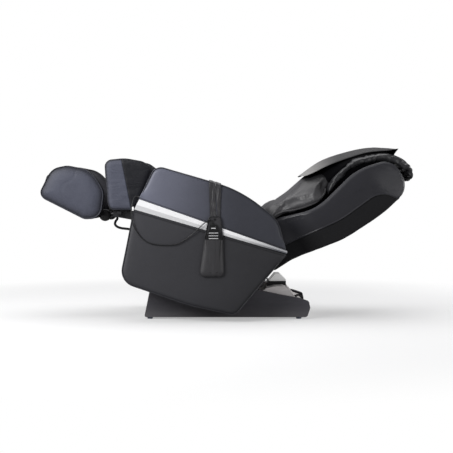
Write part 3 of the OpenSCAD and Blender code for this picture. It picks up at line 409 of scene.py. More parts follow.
def add_ring_tube(name, path, radius):
    """A piping that runs all round a closed line."""
    p = np.asarray(path, float)
    overlapped = np.vstack([p[-3:], p, p[:3]])
    rings = tube_points(overlapped, radius, TUBE_SIDES)[3:-3]
    return add_mesh(name, rings.reshape(-1, 3), grid_faces(len(p), TUBE_SIDES, ring=True))


STITCH_LENGTH, STITCH_PITCH, STITCH_RADIUS, STITCH_SIDES = 5.0, 7.5, 0.55, 6


def add_stitches(name, path, up):
    """Threads along a seam: a small capsule at every pitch, its ends sunk and its middle proud."""
    p = np.asarray(path, float)
    s = travelled(p)
    at = np.arange(STITCH_PITCH, s[-1] - STITCH_PITCH, STITCH_PITCH)
    middle, ahead = (np.stack([np.interp(d, s, p[:, k]) for k in range(3)], 1) for d in (at, at + 1))
    t = unit(ahead - middle)
    side = unit(np.cross(t, np.broadcast_to(np.asarray(up, float), t.shape)))
    proud = np.cross(side, t)
    along = np.array([-0.5, -0.3, 0, 0.3, 0.5]) * STITCH_LENGTH
    lift = np.array([-0.8, 0.1, 0.6, 0.1, -0.8]) * STITCH_RADIUS
    a = 2 * np.pi * np.arange(STITCH_SIDES) / STITCH_SIDES
    raised = lift[:, None] + STITCH_RADIUS * np.sin(a)[None, :]
    body = (middle[:, None, None] + t[:, None, None] * along[None, :, None, None]
            + proud[:, None, None] * raised[None, :, :, None]
            + side[:, None, None] * (STITCH_RADIUS * np.cos(a))[None, None, :, None])
    rows = len(along)
    cap = np.array([[0, 1, 2, 3], [0, 3, 4, 5]])
    one = np.vstack([grid_faces(rows, STITCH_SIDES), cap, cap[:, ::-1] + STITCH_SIDES * (rows - 1)])
    faces = (one[None] + (np.arange(len(at)) * STITCH_SIDES * rows)[:, None, None]).reshape(-1, 4)
    return add_mesh(name, body.reshape(-1, 3), faces, outward=False)


CUSHION_PRESSURE = 4.0


def puffed(obj, cap, hold, voxel=6.0, frames=14, slack=0.0, ease=2):
    """Fills a closed form as cushions are filled: its skin, remeshed evenly, is cloth under inner pressure.
    cap is the furthest a point may move, slack is the spare cloth, and hold(points) says which points stay.
    ease is how often each point's move is then drawn towards its neighbours' average, which takes out
    buckles."""
    remesh = obj.modifiers.new("even", "REMESH")
    remesh.mode = "VOXEL"
    remesh.voxel_size = voxel * MM
    graph = bpy.context.evaluated_depsgraph_get()
    mesh = bpy.data.meshes.new_from_object(obj.evaluated_get(graph))
    obj.modifiers.clear()
    obj.data = mesh
    mesh.polygons.foreach_set("use_smooth", np.ones(len(mesh.polygons), bool))
    start = points_of(obj)
    cloth = obj.modifiers.new("cloth", "CLOTH")
    s = cloth.settings
    s.quality = 5
    s.use_pressure = True
    s.uniform_pressure_force = CUSHION_PRESSURE
    s.effector_weights.gravity = 0.0
    s.shrink_min = -slack
    group = obj.vertex_groups.new(name="held")
    for i in np.flatnonzero(hold(start)).tolist():
        group.add([i], 1.0, "REPLACE")
    s.vertex_group_mass = "held"
    scene = bpy.context.scene
    for f in range(1, frames + 1):
        scene.frame_set(f)
    graph = bpy.context.evaluated_depsgraph_get()
    move = vectors_of(obj.evaluated_get(graph).data, "co") / MM - start
    obj.modifiers.clear()
    scene.frame_set(1)
    ends = np.zeros(len(mesh.edges) * 2, np.int32)
    mesh.edges.foreach_get("vertices", ends)
    a, b = ends[::2], ends[1::2]
    count = len(move)
    beside = np.maximum(np.bincount(a, minlength=count) + np.bincount(b, minlength=count), 1)[:, None]
    for _ in range(ease):
        total = np.zeros_like(move)
        np.add.at(total, a, move[b])
        np.add.at(total, b, move[a])
        move = 0.4 * move + 0.6 * total / beside
    length = np.linalg.norm(move, axis=1, keepdims=True)
    set_points(obj, start + move * np.minimum(1, cap / np.maximum(length, 1e-6)))
    return obj


def subdivide(obj):
    """One level of Subdivision Surface, in the view and in renders."""
    m = obj.modifiers.new("smooth", "SUBSURF")
    m.levels = m.render_levels = 1


# ---------------------------------------------------------------- shader maths


class Field:
    """A shader value: sums, products and powers of Fields add Math nodes."""

    def __init__(self, finish, socket):
        self.finish, self.socket = finish, socket

    def _math(self, operation, *values, clamp=False):
        return self.finish.add("Math", {"operation": operation, "use_clamp": clamp}, dict(enumerate(values)))

    def __add__(self, other):
        return self._math("ADD", self, other)

    def __sub__(self, other):
        return self._math("SUBTRACT", self, other)

    def __rsub__(self, other):
        return self._math("SUBTRACT", other, self)

    def __mul__(self, other):
        return self._math("MULTIPLY", self, other)

    def __truediv__(self, other):
        return self._math("DIVIDE", self, other)

    def __pow__(self, other):
        return self._math("POWER", self, other)

    def size(self):
        """The value without its sign."""
        return self._math("ABSOLUTE", self)

    def sine(self):
        """The sine of the value, in radians."""
        return self._math("SINE", self)

    def step(self, low, high):
        """0 below low, 1 above high, and a smooth rise between."""
        return self.finish.add("MapRange", {"interpolation_type": "SMOOTHSTEP"},
                               {"Value": self, "From Min": low, "From Max": high})

    def bell(self, width):
        """exp(-(value / width)^2)."""
        return self._math("EXPONENT", (self / width) ** 2.0 * -1.0)


class Finish:
    """One material: its nodes are added with add() and joined by passing Fields."""

    def __init__(self, name):
        self.material = bpy.data.materials.new(name)
        self.material.use_nodes = True
        self.tree = self.material.node_tree
        self.tree.nodes.clear()
        self.height = None

    def add(self, kind, settings=(), inputs=(), output=0):
        """A node of the given kind with its settings, then the values or links of its sockets."""
        node = self.tree.nodes.new("ShaderNode" + kind)
        for key, value in dict(settings).items():
            if key == "stops":
                ramp = node.color_ramp
                while len(ramp.elements) < len(value):
                    ramp.elements.new(1.0)
                for element, (at, colour) in zip(ramp.elements, value):
                    element.position, element.color = at, colour
            else:
                setattr(node, key, value)
        for key, value in dict(inputs).items():
            if isinstance(value, Field):
                self.tree.links.new(value.socket, node.inputs[key])
            else:
                node.inputs[key].default_value = value
        return Field(self, node.outputs[output]) if len(node.outputs) else None

    def place(self, stretch=(1.0, 1.0, 1.0), turn=(0.0, 0.0, 0.0)):
        """The piece's own coordinates, in metres, turned and stretched."""
        where = self.add("TexCoord", output="Object")
        return self.add("Mapping", inputs={"Vector": where, "Scale": stretch, "Rotation": turn})

    def parts(self, vector):
        """The three numbers of a vector."""
        split = self.add("SeparateXYZ", inputs={"Vector": vector})
        node = split.socket.node
        return [Field(self, node.outputs[k]) for k in range(3)]

    def noise(self, where, scale, detail=2.0, roughness=0.5):
        """Perlin noise, from 0 to 1."""
        return self.add("TexNoise", inputs={"Vector": where, "Scale": scale, "Detail": detail,
                                            "Roughness": roughness})

    def cells(self, where, scale):
        """Rounded cells, as the pebbles of a leather's grain."""
        return self.add("TexVoronoi", {"feature": "SMOOTH_F1"}, {"Vector": where, "Scale": scale,
                                                                  "Smoothness": 0.6})

    def mixed(self, share, a, b):
        """A colour between a and b."""
        return self.add("Mix", {"data_type": "RGBA"}, {0: share, 6: a, 7: b}, output=2)

    def shaded(self, colour, share, depth):
        """The colour darkened by share * depth and brightened where share is low."""
        dark = tuple(c * (1 - depth) for c in colour[:3]) + (1.0,)
        light = tuple(min(1.0, c * (1 + depth)) for c in colour[:3]) + (1.0,)
        return self.mixed(share, light, dark)

    def bump(self, height, distance, strength, under=None):
        """A normal bent by a height, so many metres tall, over the normal under it."""
        inputs = {"Height": height, "Distance": distance, "Strength": strength}
        if under is not None:
            inputs["Normal"] = under
        return self.add("Bump", inputs=inputs)

    def surface(self, colour, roughness, normal=None, **fixed):
        """The Principled surface. Every other socket is a plain number."""
        inputs = {"Base Color": colour, "Roughness": roughness}
        if normal is not None:
            inputs["Normal"] = normal
        inputs.update({key.replace("_", " "): value for key, value in fixed.items()})
        shader = self.add("BsdfPrincipled", inputs=inputs)
        self.add("OutputMaterial", inputs={"Surface": shader})
        return self.material


def rgba(colour):
    """A colour with full alpha."""
    return tuple(colour[:3]) + (1.0,)


PEBBLE = 620.0
BLACK = (0.0, 0.0, 0.0, 1.0)


def leather(name, colour, roughness, grain=1.0, soft=1.0, seams=(), painted_shade=None, shine=0.5):
    """Coated leather: fine pebble grain, broad soft waves, a little wear in the colour and the gloss.
    seams are straight lines (x, z, nx, nz) in chair metres, each a narrow dark valley. worn is
    (a, b, share, nx, nz): painted shade, the leather darker by the share where nx * x + nz * z goes from a to
    b, along x unless it says so; it stands in for the light falling off, or for a shadow."""
    f = Finish(name)
    where = f.place()
    x, _, z = f.parts(where)
    pebble = f.cells(where, PEBBLE)
    fine = f.noise(where, 1500.0, 2.0)
    wave = f.noise(where, 16.0, 4.0, 0.6)
    patch = f.noise(where, 5.0, 3.0)
    tone = f.shaded(rgba(colour), (patch * 0.7 + wave * 0.3).step(0.3, 0.7), 0.07)
    # Painted shade: the leather darkens along a line, standing in for light falling off or for a shadow.
    if painted_shade:
        start, end, share, nx, nz = (*painted_shade, 1.0, 0.0)[:5]
        tone = f.mixed((x * nx + z * nz).step(start, end) * share, tone, BLACK)
    low = wave
    for x0, z0, nx, nz in seams:
        line = ((x - x0) * nx + (z - z0) * nz).bell(0.0017)
        tone = f.mixed(line * 0.85, tone, (0.003, 0.003, 0.004, 1.0))
        low = low - line * 0.8
    normal = f.bump(low, 0.0035 * soft, 0.5)
    normal = f.bump(pebble * 0.7 + fine * 0.3, 0.00035 * grain, 0.7, normal)
    return f.surface(tone, patch * 0.14 + (roughness - 0.07) + pebble * 0.05, normal,
                     Specular_IOR_Level=shine)


def cloth(name, colour, thread, roughness=0.85, sheen=0.14):
    """Woven cloth: two crossed rows of threads, each over and under the other, with loose fibre over them."""
    f = Finish(name)
    where = f.place()
    x, y, z = f.parts(where)
    turns = 2 * math.pi / (2 * thread)
    warp, weft = ((x + y * 0.35) * turns).sine(), (z * turns).sine()
    over = (warp * weft) * 0.5 + 0.5
    fibre = f.noise(where, 900.0, 3.0)
    wave = f.noise(f.place(), 22.0, 3.0)
    tone = f.shaded(rgba(colour), (over * 0.5 + wave * 0.5).step(0.25, 0.75), 0.14)
    normal = f.bump(wave, 0.004, 0.4)
    normal = f.bump(over * 0.6 + fibre * 0.4, thread * 0.5, 0.6, normal)
    return f.surface(tone, roughness, normal, Sheen_Weight=sheen, Sheen_Roughness=0.5,
                     Specular_IOR_Level=min(0.3, sheen * 2.2))


def moulding(name, colour, roughness, grain=1.0, glow=0.0):
    """Moulded plastic: a fine spark-etched grain, faint rubs in the gloss and dust low down.
    glow is a painted glow: an emission that brightens a pale plastic lying in shade."""
    f = Finish(name)
    where = f.place()
    grains = f.noise(where, 1100.0, 2.0)
    rubs = f.noise(f.place((3.0, 3.0, 14.0)), 6.0, 4.0, 0.7)
    height = f.parts(where)[2]
    dust = (1.0 - height.step(0.0, 0.07)) * rubs * 0.35
    tone = f.mixed(dust, f.shaded(rgba(colour), rubs.step(0.35, 0.65), 0.05), (0.30, 0.29, 0.28, 1.0))
    return f.surface(tone, rubs * 0.16 + (roughness - 0.08), f.bump(grains, 0.00025 * grain, 0.5),
                     Specular_IOR_Level=0.45, Emission_Color=(0.9, 0.9, 0.89, 1.0), Emission_Strength=glow)


def metal(name, colour, roughness, brushed=0.0):
    """Bare or plated metal: colour patches, and lines along the bar where it is brushed."""
    f = Finish(name)
    patch = f.noise(f.place(), 14.0, 4.0)
    lines = f.noise(f.place((20.0, 900.0, 900.0), (0.0, math.radians(-34.0), 0.0)), 1.0, 2.0)
    tone = f.shaded(rgba(colour), patch.step(0.3, 0.7), 0.06)
    return f.surface(tone, patch * 0.12 + lines * 0.12 * brushed + (roughness - 0.06),
                     f.bump(lines, 0.0001 * brushed + 0.00001, 0.4), Metallic=1.0)


def coated(name, colour, roughness, patch, low, depth, grain, height):
    """Patches of tone and gloss over a fine grain; patch and grain are the numbers of two noises."""
    f = Finish(name)
    where = f.place()
    spots = f.noise(where, *patch)
    tone = f.shaded(rgba(colour), spots.step(low, 0.7), depth)
    return f.surface(tone, spots * 0.2 + (roughness - 0.1), f.bump(f.noise(where, *grain), height, 0.4))


def paint(name, colour):
    """Baked paint on steel: a slight orange peel, and rubs where the gloss has gone."""
    return coated(name, colour, 0.38, (20.0, 5.0, 0.7), 0.35, 0.08, (240.0, 2.0), 0.0003)


def rubber(name, colour, roughness):
    """Rubber or cord sheath: dull, with a faint bloom."""
    return coated(name, colour, roughness, (60.0, 4.0, 0.6), 0.3, 0.10, (1400.0, 1.0), 0.0002)


def two_tone(name, panel, dark, at, rumpled=1.3, soft=0.007):
    """A leg panel in two leathers, with painted shade where its face turns away, down to the depth soft. at
    is ("across", y), the distance from the middle plane, or ("line", x, z, nx, nz), the side of a straight
    seam in chair metres; the seam is a narrow valley."""
    f = Finish(name)
    where = f.place()
    x, y, z = f.parts(where)
    y = y.size()
    if at[0] == "across":
        d = y - at[1]
        share = d.step(-0.0006, 0.0006)
        seam = d.bell(0.0014)
    else:
        d = (x - at[1]) * at[3] + (z - at[2]) * at[4]
        share = d.step(-0.0008, 0.0008)
        seam = d.bell(0.0030)
    pebble = f.cells(where, PEBBLE)
    wave = f.noise(where, 14.0, 4.0, 0.6)
    fold = f.noise(f.place((14.0, 14.0, 95.0)), 1.0, 4.0, 0.65)
    a = f.shaded(rgba(panel), (wave * 0.6 + fold * 0.4).step(0.3, 0.7), 0.07)
    b = f.shaded(rgba(dark), wave.step(0.3, 0.7), 0.07)
    # Painted shade: the panel colour darkens where its rounded edge turns away from the face.
    away = (LEG_OUTER * MM - y).step(0.0006, soft)
    a = f.mixed(away * 0.72, a, rgba([v * 0.6 for v in dark]))
    tone = f.mixed(seam * 0.8, f.mixed(share, b, a), (0.005, 0.005, 0.006, 1.0))
    rows = fold * share * rumpled
    normal = f.bump(wave * 0.5 + rows * 0.5 - seam * 0.9, 0.004, 0.5)
    normal = f.bump(pebble, 0.0004, 0.7, normal)
    return f.surface(tone, wave * 0.1 + 0.5, normal, Specular_IOR_Level=0.33)


def bright_trim(name, colour):
    """Satin trim with brushed lines, darker on its lower facet, which faces down, and towards its rear end:
    both painted shade.
    """
    f = Finish(name)
    lines = f.noise(f.place((20.0, 900.0, 900.0), (0.0, math.radians(-19.0), 0.0)), 1.0, 2.0)
    up = f.parts(f.add("NewGeometry", output="Normal"))[2]
    # Painted shade: facets that face down, and the rear end, which lies in shadow, are darker.
    lower = 1.0 - up.step(-0.12, 0.05)
    rear = f.parts(f.place())[0].step(0.02, 0.28)
    tone = f.mixed((lower * 0.34) + (rear * 0.70), rgba(colour), (0.10, 0.105, 0.12, 1.0))
    tone = f.mixed(lines * 0.06, tone, (0.30, 0.30, 0.32, 1.0))
    return f.surface(tone, lines * 0.10 + 0.24, f.bump(lines, 0.00008, 0.4), Specular_IOR_Level=0.6)


def pillow_painted_sheen(name, top, under):
    """The pillow: dark leather with a pale painted sheen on its upper side, chosen by how the skin faces,
    palest at its lower end and fading to the dark towards its upper end."""
    f = Finish(name)
    where = f.place()
    up = f.parts(f.add("NewGeometry", output="Normal"))[2]
    wave = f.noise(where, 16.0, 4.0, 0.6)
    pebble = f.cells(where, PEBBLE)
    # Painted sheen: the pale upper side fades to the dark leather towards the upper end.
    far = f.parts(where)[0].step(0.34, 0.56)
    pale = f.mixed(far * 0.90, f.shaded(rgba(top), wave, 0.08), rgba(under))
    # The painted sheen is laid only where the skin faces up.
    tone = f.mixed(up.step(-0.25, 0.0), f.shaded(rgba(under), wave, 0.06), pale)
    normal = f.bump(wave, 0.003, 0.5)
    return f.surface(tone, wave * 0.14 + 0.52, f.bump(pebble, 0.0004, 0.6, normal), Specular_IOR_Level=0.18)


# ---------------------------------------------------------------- sizes and colours a user changes


def colour_prop(name, about, value):
    """A colour that a user may change."""
    return FloatVectorProperty(name=name, description=about, subtype="COLOR", size=3, min=0.0, max=1.0,
                               default=value)


def length_prop(name, about, value):
    """A length that a user may change, of up to 50 mm."""
    return FloatProperty(name=name, description=about, subtype="DISTANCE", unit="LENGTH", default=value,
                         min=0.0, max=0.05)


class ChairSizes(bpy.types.PropertyGroup):
    arm_edge: length_prop("Arm edge", "Rounding of the arms' padded edges", 0.020)
    seam_edge: length_prop("Seam edge", "Rounding where the leather turns in at the trim", 0.005)
    arm_draw: length_prop("Arm draw", "How far the leather draws in at the arms' edges", 0.007)
    leg_edge: length_prop("Leg edge", "Rounding of the leg walls' edges", 0.022)
    piping: length_prop("Piping", "Radius of the leg panels' piping", 0.0022)
    fold_depth: length_prop("Fold depth", "Depth of the folds in the back's loose leather", 0.006)
    strap_crease: length_prop("Strap crease", "Depth of the strap's lengthwise creases", 0.0034)
    thread: length_prop("Thread", "Width of one thread in the woven cloths", 0.0011)


class ChairColours(bpy.types.PropertyGroup):
    arm: colour_prop("Arm", "Leather of the arms below the trim", (0.033, 0.033, 0.039))
    arm_top: colour_prop("Arm top", "Leather of the arms above the trim", (0.163, 0.171, 0.226))
    panel: colour_prop("Leg panel", "Blue-grey panels of the leg unit", (0.074, 0.079, 0.108))
    panel_dark: colour_prop("Leg leather", "Dark leather of the leg unit", (0.007, 0.0075, 0.011))
    band: colour_prop("Band", "Glossy leather of the back's side bands", (0.024, 0.024, 0.029))
    pad: colour_prop("Pad", "Soft leather of the back and the seat", (0.050, 0.049, 0.052))
    roll: colour_prop("Head roll", "Leather of the head roll", (0.015, 0.015, 0.017))
    # This pale colour is the pillow's painted sheen, laid on its upper side.
    pillow: colour_prop("Pillow", "Upper side of the pillow flap", (0.30, 0.295, 0.29))
    cloth: colour_prop("Cloth", "Black cloth of the back's cover", (0.004, 0.004, 0.0052))
    strap: colour_prop("Strap", "Leather of the strap and the pouch", (0.034, 0.033, 0.036))
    trim: colour_prop("Trim", "Bright trim on the arms", (0.98, 0.98, 0.99))
    base: colour_prop("Base", "Moulded skirts of the base", (0.060, 0.058, 0.068))
    rear: colour_prop("Rear cover", "Grey cover at the back of the base", (0.84, 0.80, 0.785))


FINISHES = {}


def seam_below(seam, down):
    """A straight seam of the arm, so far below the given one, as (x, z, nx, nz) in chair metres."""
    a, b = in_seat(np.asarray(seam, float)) * MM
    square = left_of(unit(b - a))
    return tuple(float(v) for v in (*(a - square * down * MM), *square))


def make_finishes(c, s):
    """One material for each slot of the record, and those of the new pieces."""
    thread = s.thread
    made = {
        "steel": paint("steel_paint", (0.014, 0.014, 0.016)),
        "zinc": metal("zinc_plate", (0.56, 0.58, 0.60), 0.34, brushed=1.0),
        "bright": metal("polished_rod", (0.72, 0.73, 0.75), 0.12),
        "base_shell": moulding("skirt_moulding", c.base, 0.50),
        "rear_shell": moulding("rear_moulding", c.rear, 0.42),
        "black_plastic": moulding("black_moulding", (0.010, 0.010, 0.011), 0.36),
        # The pale moulding glows: painted light that lifts its parts, such as the lid under the back, out of
        # shade.
        "grey_plastic": moulding("pale_moulding_painted_glow", (0.90, 0.90, 0.89), 0.45, glow=0.22),
        "foot_rubber": rubber("foot_rubber", (0.10, 0.12, 0.17), 0.65),
        "wheel": rubber("wheel_rubber", (0.015, 0.015, 0.016), 0.55),
        "cord": rubber("cord_sheath", (0.009, 0.009, 0.010), 0.45),
        "seat_leather": leather("seat_leather", c.pad, 0.40),
        # The arm leathers darken towards the rear: painted shade for the key light falling off along the arm.
        "arm_leather": leather("arm_leather", c.arm, 0.50, soft=0.8, painted_shade=(-0.45, 0.30, 0.50),
                               seams=[seam_below(LOWER_SEAM, 11.0)]),
        "arm_top": leather("arm_top_leather", c.arm_top, 0.48, soft=0.8, painted_shade=(-0.50, 0.08, 0.80),
                           seams=[seam_below(UPPER_SEAM, -6.0)]),
        "trim": bright_trim("bright_trim", c.trim),
        "strap": leather("strap_leather", c.strap, 0.36, grain=0.5),
        "pouch": leather("pouch_leather", c.strap, 0.42, grain=0.6),
        "remote": moulding("handset_case", (0.004, 0.004, 0.0045), 0.42, grain=0.4),
        "button": moulding("key_caps", (0.030, 0.029, 0.031), 0.35, grain=0.3),
        "key_mark": moulding("key_marks", (0.62, 0.62, 0.63), 0.4, grain=0.2),
        "band": leather("band_leather", c.band, 0.38, soft=0.8, shine=0.34),
        "back_cloth": cloth("cover_cloth", c.cloth, thread * 1.2),
        # The inner cloth is the cover cloth made near black with almost no sheen: painted shade inside the
        # back, also on the neck cushion.
        "inner_cloth": cloth("inner_cloth", (0.0015, 0.0015, 0.002), thread * 1.2, 0.95, sheen=0.02),
        # The pad darkens towards its upper end: a painted shadow of the pillow flap.
        "back_pad": leather("pad_leather", c.pad, 0.38, soft=1.4, shine=0.44,
                            painted_shade=(0.725, 0.79, 0.62, 0.5, 0.86)),
        "head_roll": leather("roll_leather", c.roll, 0.38, soft=1.3),
        "pillow": pillow_painted_sheen("pillow_leather", c.pillow, (0.016, 0.016, 0.018)),
        "leg_panel": leather("panel_leather", c.panel, 0.50),
        "leg_lining": leather("lining_leather", (0.014, 0.014, 0.016), 0.55),
        "roller": moulding("roller_plastic", (0.27, 0.15, 0.085), 0.40),
        "motor": moulding("motor_housing", (0.012, 0.012, 0.013), 0.45),
        "pump": moulding("pump_housing", (0.026, 0.026, 0.028), 0.5),
    }
    top, foot = in_leg([-102, 268]) * MM, in_leg([-59, 51]) * MM
    normal = unit(left_of(top - foot))
    made["calf_panel"] = two_tone("calf_panel_leather", [v * 1.12 for v in c.panel], c.panel_dark,
                                  ("line", *top, *normal))
    made["foot_panel"] = two_tone("foot_panel_leather", c.panel, (0.028, 0.028, 0.034),
                                  ("across", (LEG_OUTER - 21) * MM), rumpled=0.1, soft=0.015)
    made["piping"] = leather("piping_leather", (0.010, 0.010, 0.012), 0.42, grain=0.4)
    # The welt darkens towards the rear with the arm: painted shade.
    made["arm_welt"] = leather("arm_welt_leather", (0.036, 0.037, 0.044), 0.50, grain=0.4,
                               painted_shade=(-0.50, 0.10, 0.4))
    made["thread"] = rubber("seam_thread", (0.018, 0.018, 0.020), 0.7)
    FINISHES.update(made)


def finished(obj, body, slot, replaces=(), finish=None):
    """Gives a piece the material of its slot or finish, moves it to its body, and hides the nodes it stands
    for.
    """
    obj.data.materials.clear()
    obj.data.materials.append(FINISHES[finish or slot])
    if body:
        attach(obj, body)
    if replaces:
        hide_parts(*replaces)
    return obj


class ChairOperator:
    """What every operator of the chair shares."""
    bl_options = {"REGISTER", "UNDO"}


# ---------------------------------------------------------------- stage


CAMERA_AT, CAMERA_DOWN, CAMERA_LENS, SENSOR = (0.0, -5.5, 0.62), 1.86, 86.4, 36.0
LAMPS = [("key", (-2.5, -2.3, 2.0), (1.8, 1.4), 106.0), ("top", (-0.2, 0.5, 3.3), (4.2, 2.6), 80.0),
         ("side", (3.0, -2.2, 0.9), (2.0, 1.6), 24.0), ("rim", (3.1, 1.1, 0.8), (2.0, 1.4), 34.0)]
LAMP_AIM = np.array([0.0, 0.0, 0.45])
AMBIENT = (0.27, 0.27, 0.28, 1.0)
WHITE = (1.0, 1.0, 1.0, 1.0)
FLOOR_HALF = 40.0


class ChairStage(ChairOperator, bpy.types.Operator):
    """Pale floor, soft lamps and the camera"""
    bl_idname = "chair.stage"
    bl_label = "Studio"

    def execute(self, context):
        scene = context.scene
        scene.view_settings.view_transform = "Standard"
        camera = bpy.data.objects.new("camera", bpy.data.cameras.new("camera"))
        camera.location = CAMERA_AT
        camera.rotation_euler = (math.radians(90 - CAMERA_DOWN), 0.0, 0.0)
        camera.data.lens, camera.data.sensor_width = CAMERA_LENS, SENSOR
        camera.data.clip_end = 200.0
        scene.collection.objects.link(camera)
        scene.camera = camera
        for name, at, size, power in LAMPS:
            data = bpy.data.lights.new(name, "AREA")
            data.shape, data.size, data.size_y, data.energy = "RECTANGLE", size[0], size[1], power
            lamp = bpy.data.objects.new(name, data)
            lamp.location = at
            aim = LAMP_AIM - np.array(at)
            flat = math.hypot(aim[0], aim[1])
            lamp.rotation_euler = (math.atan2(flat, -aim[2]), 0.0, math.atan2(aim[1], aim[0]) - math.pi / 2)
            scene.collection.objects.link(lamp)
        self.world(scene)
        self.floor()
        return {"FINISHED"}

    def world(self, scene):
        """White where the camera looks past the chair, and a low even light elsewhere."""
        world = bpy.data.worlds.new("studio")
        world.use_nodes = True
        tree = world.node_tree
        tree.nodes.clear()
        path = tree.nodes.new("ShaderNodeLightPath")
        white, light = (tree.nodes.new("ShaderNodeBackground") for _ in range(2))
        white.inputs["Color"].default_value = WHITE
        light.inputs["Color"].default_value = AMBIENT
        mix = tree.nodes.new("ShaderNodeMixShader")
        out = tree.nodes.new("ShaderNodeOutputWorld")
        tree.links.new(path.outputs["Is Camera Ray"], mix.inputs[0])
        tree.links.new(light.outputs[0], mix.inputs[1])
        tree.links.new(white.outputs[0], mix.inputs[2])
        tree.links.new(mix.outputs[0], out.inputs[0])
        scene.world = world

    def floor(self):
        """Paper that fades to white away from the chair, and is duller where it only reflects."""
        corners = np.array([[-1, -1, 0], [1, -1, 0], [1, 1, 0], [-1, 1, 0]]) * FLOOR_HALF
        floor = add_mesh("floor", corners / MM, [[0, 1, 2, 3]], outward=False)
        f = Finish("floor_paper")
        seen = f.add("LightPath", output="Is Camera Ray")
        x, y, _ = f.parts(f.place())
        far = (x * x + y * y).step(1.6, 6.0)
        grain = f.noise(f.place(), 3.0)
        paper = f.add("BsdfDiffuse", inputs={"Color": (0.52, 0.52, 0.52, 1.0)})
        dull = f.add("BsdfDiffuse", inputs={"Color": (0.34, 0.34, 0.34, 1.0)})
        glow = f.add("Emission", inputs={"Color": WHITE, "Strength": 0.37})
        white = f.add("Emission", inputs={"Color": WHITE, "Strength": 1.0})
        lit = f.add("AddShader", inputs={0: paper, 1: glow})
        view = f.add("MixShader", inputs={0: far + grain * 0.02, 1: lit, 2: white})
        shown = f.add("MixShader", inputs={0: seen, 1: dull, 2: view})
        f.add("OutputMaterial", inputs={"Surface": shown})
        floor.data.materials.append(f.material)


# ---------------------------------------------------------------- cords

SLOPE = np.array([[303.0, 145.0], [346.0, 92.0]])
GLAND_LENGTH, GLAND_Y, GLAND_SHARE = 5.5, -150.0, 0.84
COIL_TURNS, COIL_OUTER, COIL_PITCH, COIL_LAYER, COIL_TAIL = 5, 42.0, 8.0, 7.8, 44.0
COIL_CENTRE = (330.0, 320.0)
MAINS_RADIUS, REMOTE_RADIUS, HOSE_RADIUS = 3.5, 2.5, 6.0
MAINS_ROUTE = [
    (351.5, -150.5, 109), (357.5, -152, 107.5), (363, -155, 103), (368, -160, 96.5), (375, -168, 88.5),
    (383.5, -177, 83), (389.5, -186, 73.5), (390.5, -192, 62), (387, -196, 44), (382.5, -195, 25),
    (379, -188, 12), (376, -172, 4.5), (373, -150, 3.5), (371, -110, 3.5), (373, -50, 3.5), (371, 20, 3.5),
    (373, 100, 3.5), (372, 170, 3.5), (372, 230, 3.5), (372, 280, 3.5), (372, 313, 3.5)]
REMOTE_ROUTE = [
    (-418.7, -362, 593.5), (-422.3, -362, 595.2), (-429.5, -366, 595), (-436.5, -372, 586.5),
    (-441, -379, 571), (-444, -386, 554), (-447, -392, 533), (-447, -396, 508), (-440, -397.5, 468),
    (-421, -397.5, 429), (-394, -397.5, 396), (-360, -397.5, 376), (-322, -397.5, 369), (-285, -397.5, 367),
    (-252, -397.5, 368), (-222, -397.5, 376), (-192, -397.5, 394), (-162, -398.5, 416), (-134, -400, 442),
    (-112, -402.5, 463), (-95, -403.5, 477), (-80, -403.5, 486), (-71, -403.5, 485), (-68, -403.5, 479),
    (-68, -403.5, 472.2)]
HOSE_ROUTE = [
    (-541, -110, 489.6), (-542, -110, 482), (-549, -110, 472), (-553, -110, 460), (-549, -110, 450),
    (-538, -110, 442), (-520, -110, 436.5), (-500, -110, 434), (-480, -110, 431), (-462, -110, 424),
    (-448, -110, 416), (-431.9, -110, 413.1)]


def at_gland(d):
    """A point d out of the rear cover, square to it, on the gland's line."""
    slope = SLOPE[1] - SLOPE[0]
    p = SLOPE[0] + slope * GLAND_SHARE + left_of(unit(slope)) * d
    return (p[0], GLAND_Y, p[1])


def coil_points(count):
    """Two layers of a flat spiral: in on the floor, up a layer in half a turn, and out again."""
    turn = np.linspace(0, COIL_TURNS, count)
    half = COIL_TURNS / 2
    r = COIL_OUTER - COIL_PITCH * np.where(turn < half, turn, COIL_TURNS - turn)
    climb = np.clip((turn - half + 0.25) / 0.5, 0, 1)
    a = 2 * np.pi * turn
    x, y = COIL_CENTRE[0] + r * np.cos(a), COIL_CENTRE[1] + r * np.sin(a)
    return xyz(x, y, MAINS_RADIUS + COIL_LAYER * climb)


def add_cord(name, path, radius, slot, body, replaces):
    """A round cord as a curve of one open spline."""
    data = bpy.data.curves.new(name, "CURVE")
    data.dimensions = "3D"
    spline = data.splines.new("POLY")
    spline.points.add(len(path) - 1)
    spline.points.foreach_set("co", np.c_[np.asarray(path) * MM, np.ones(len(path))].ravel())
    data.bevel_depth = radius * MM
    data.bevel_resolution = 4
    data.use_fill_caps = True
    spline.use_smooth = True
    obj = bpy.data.objects.new(name, data)
    bpy.context.scene.collection.objects.link(obj)
    return finished(obj, body, slot, replaces)


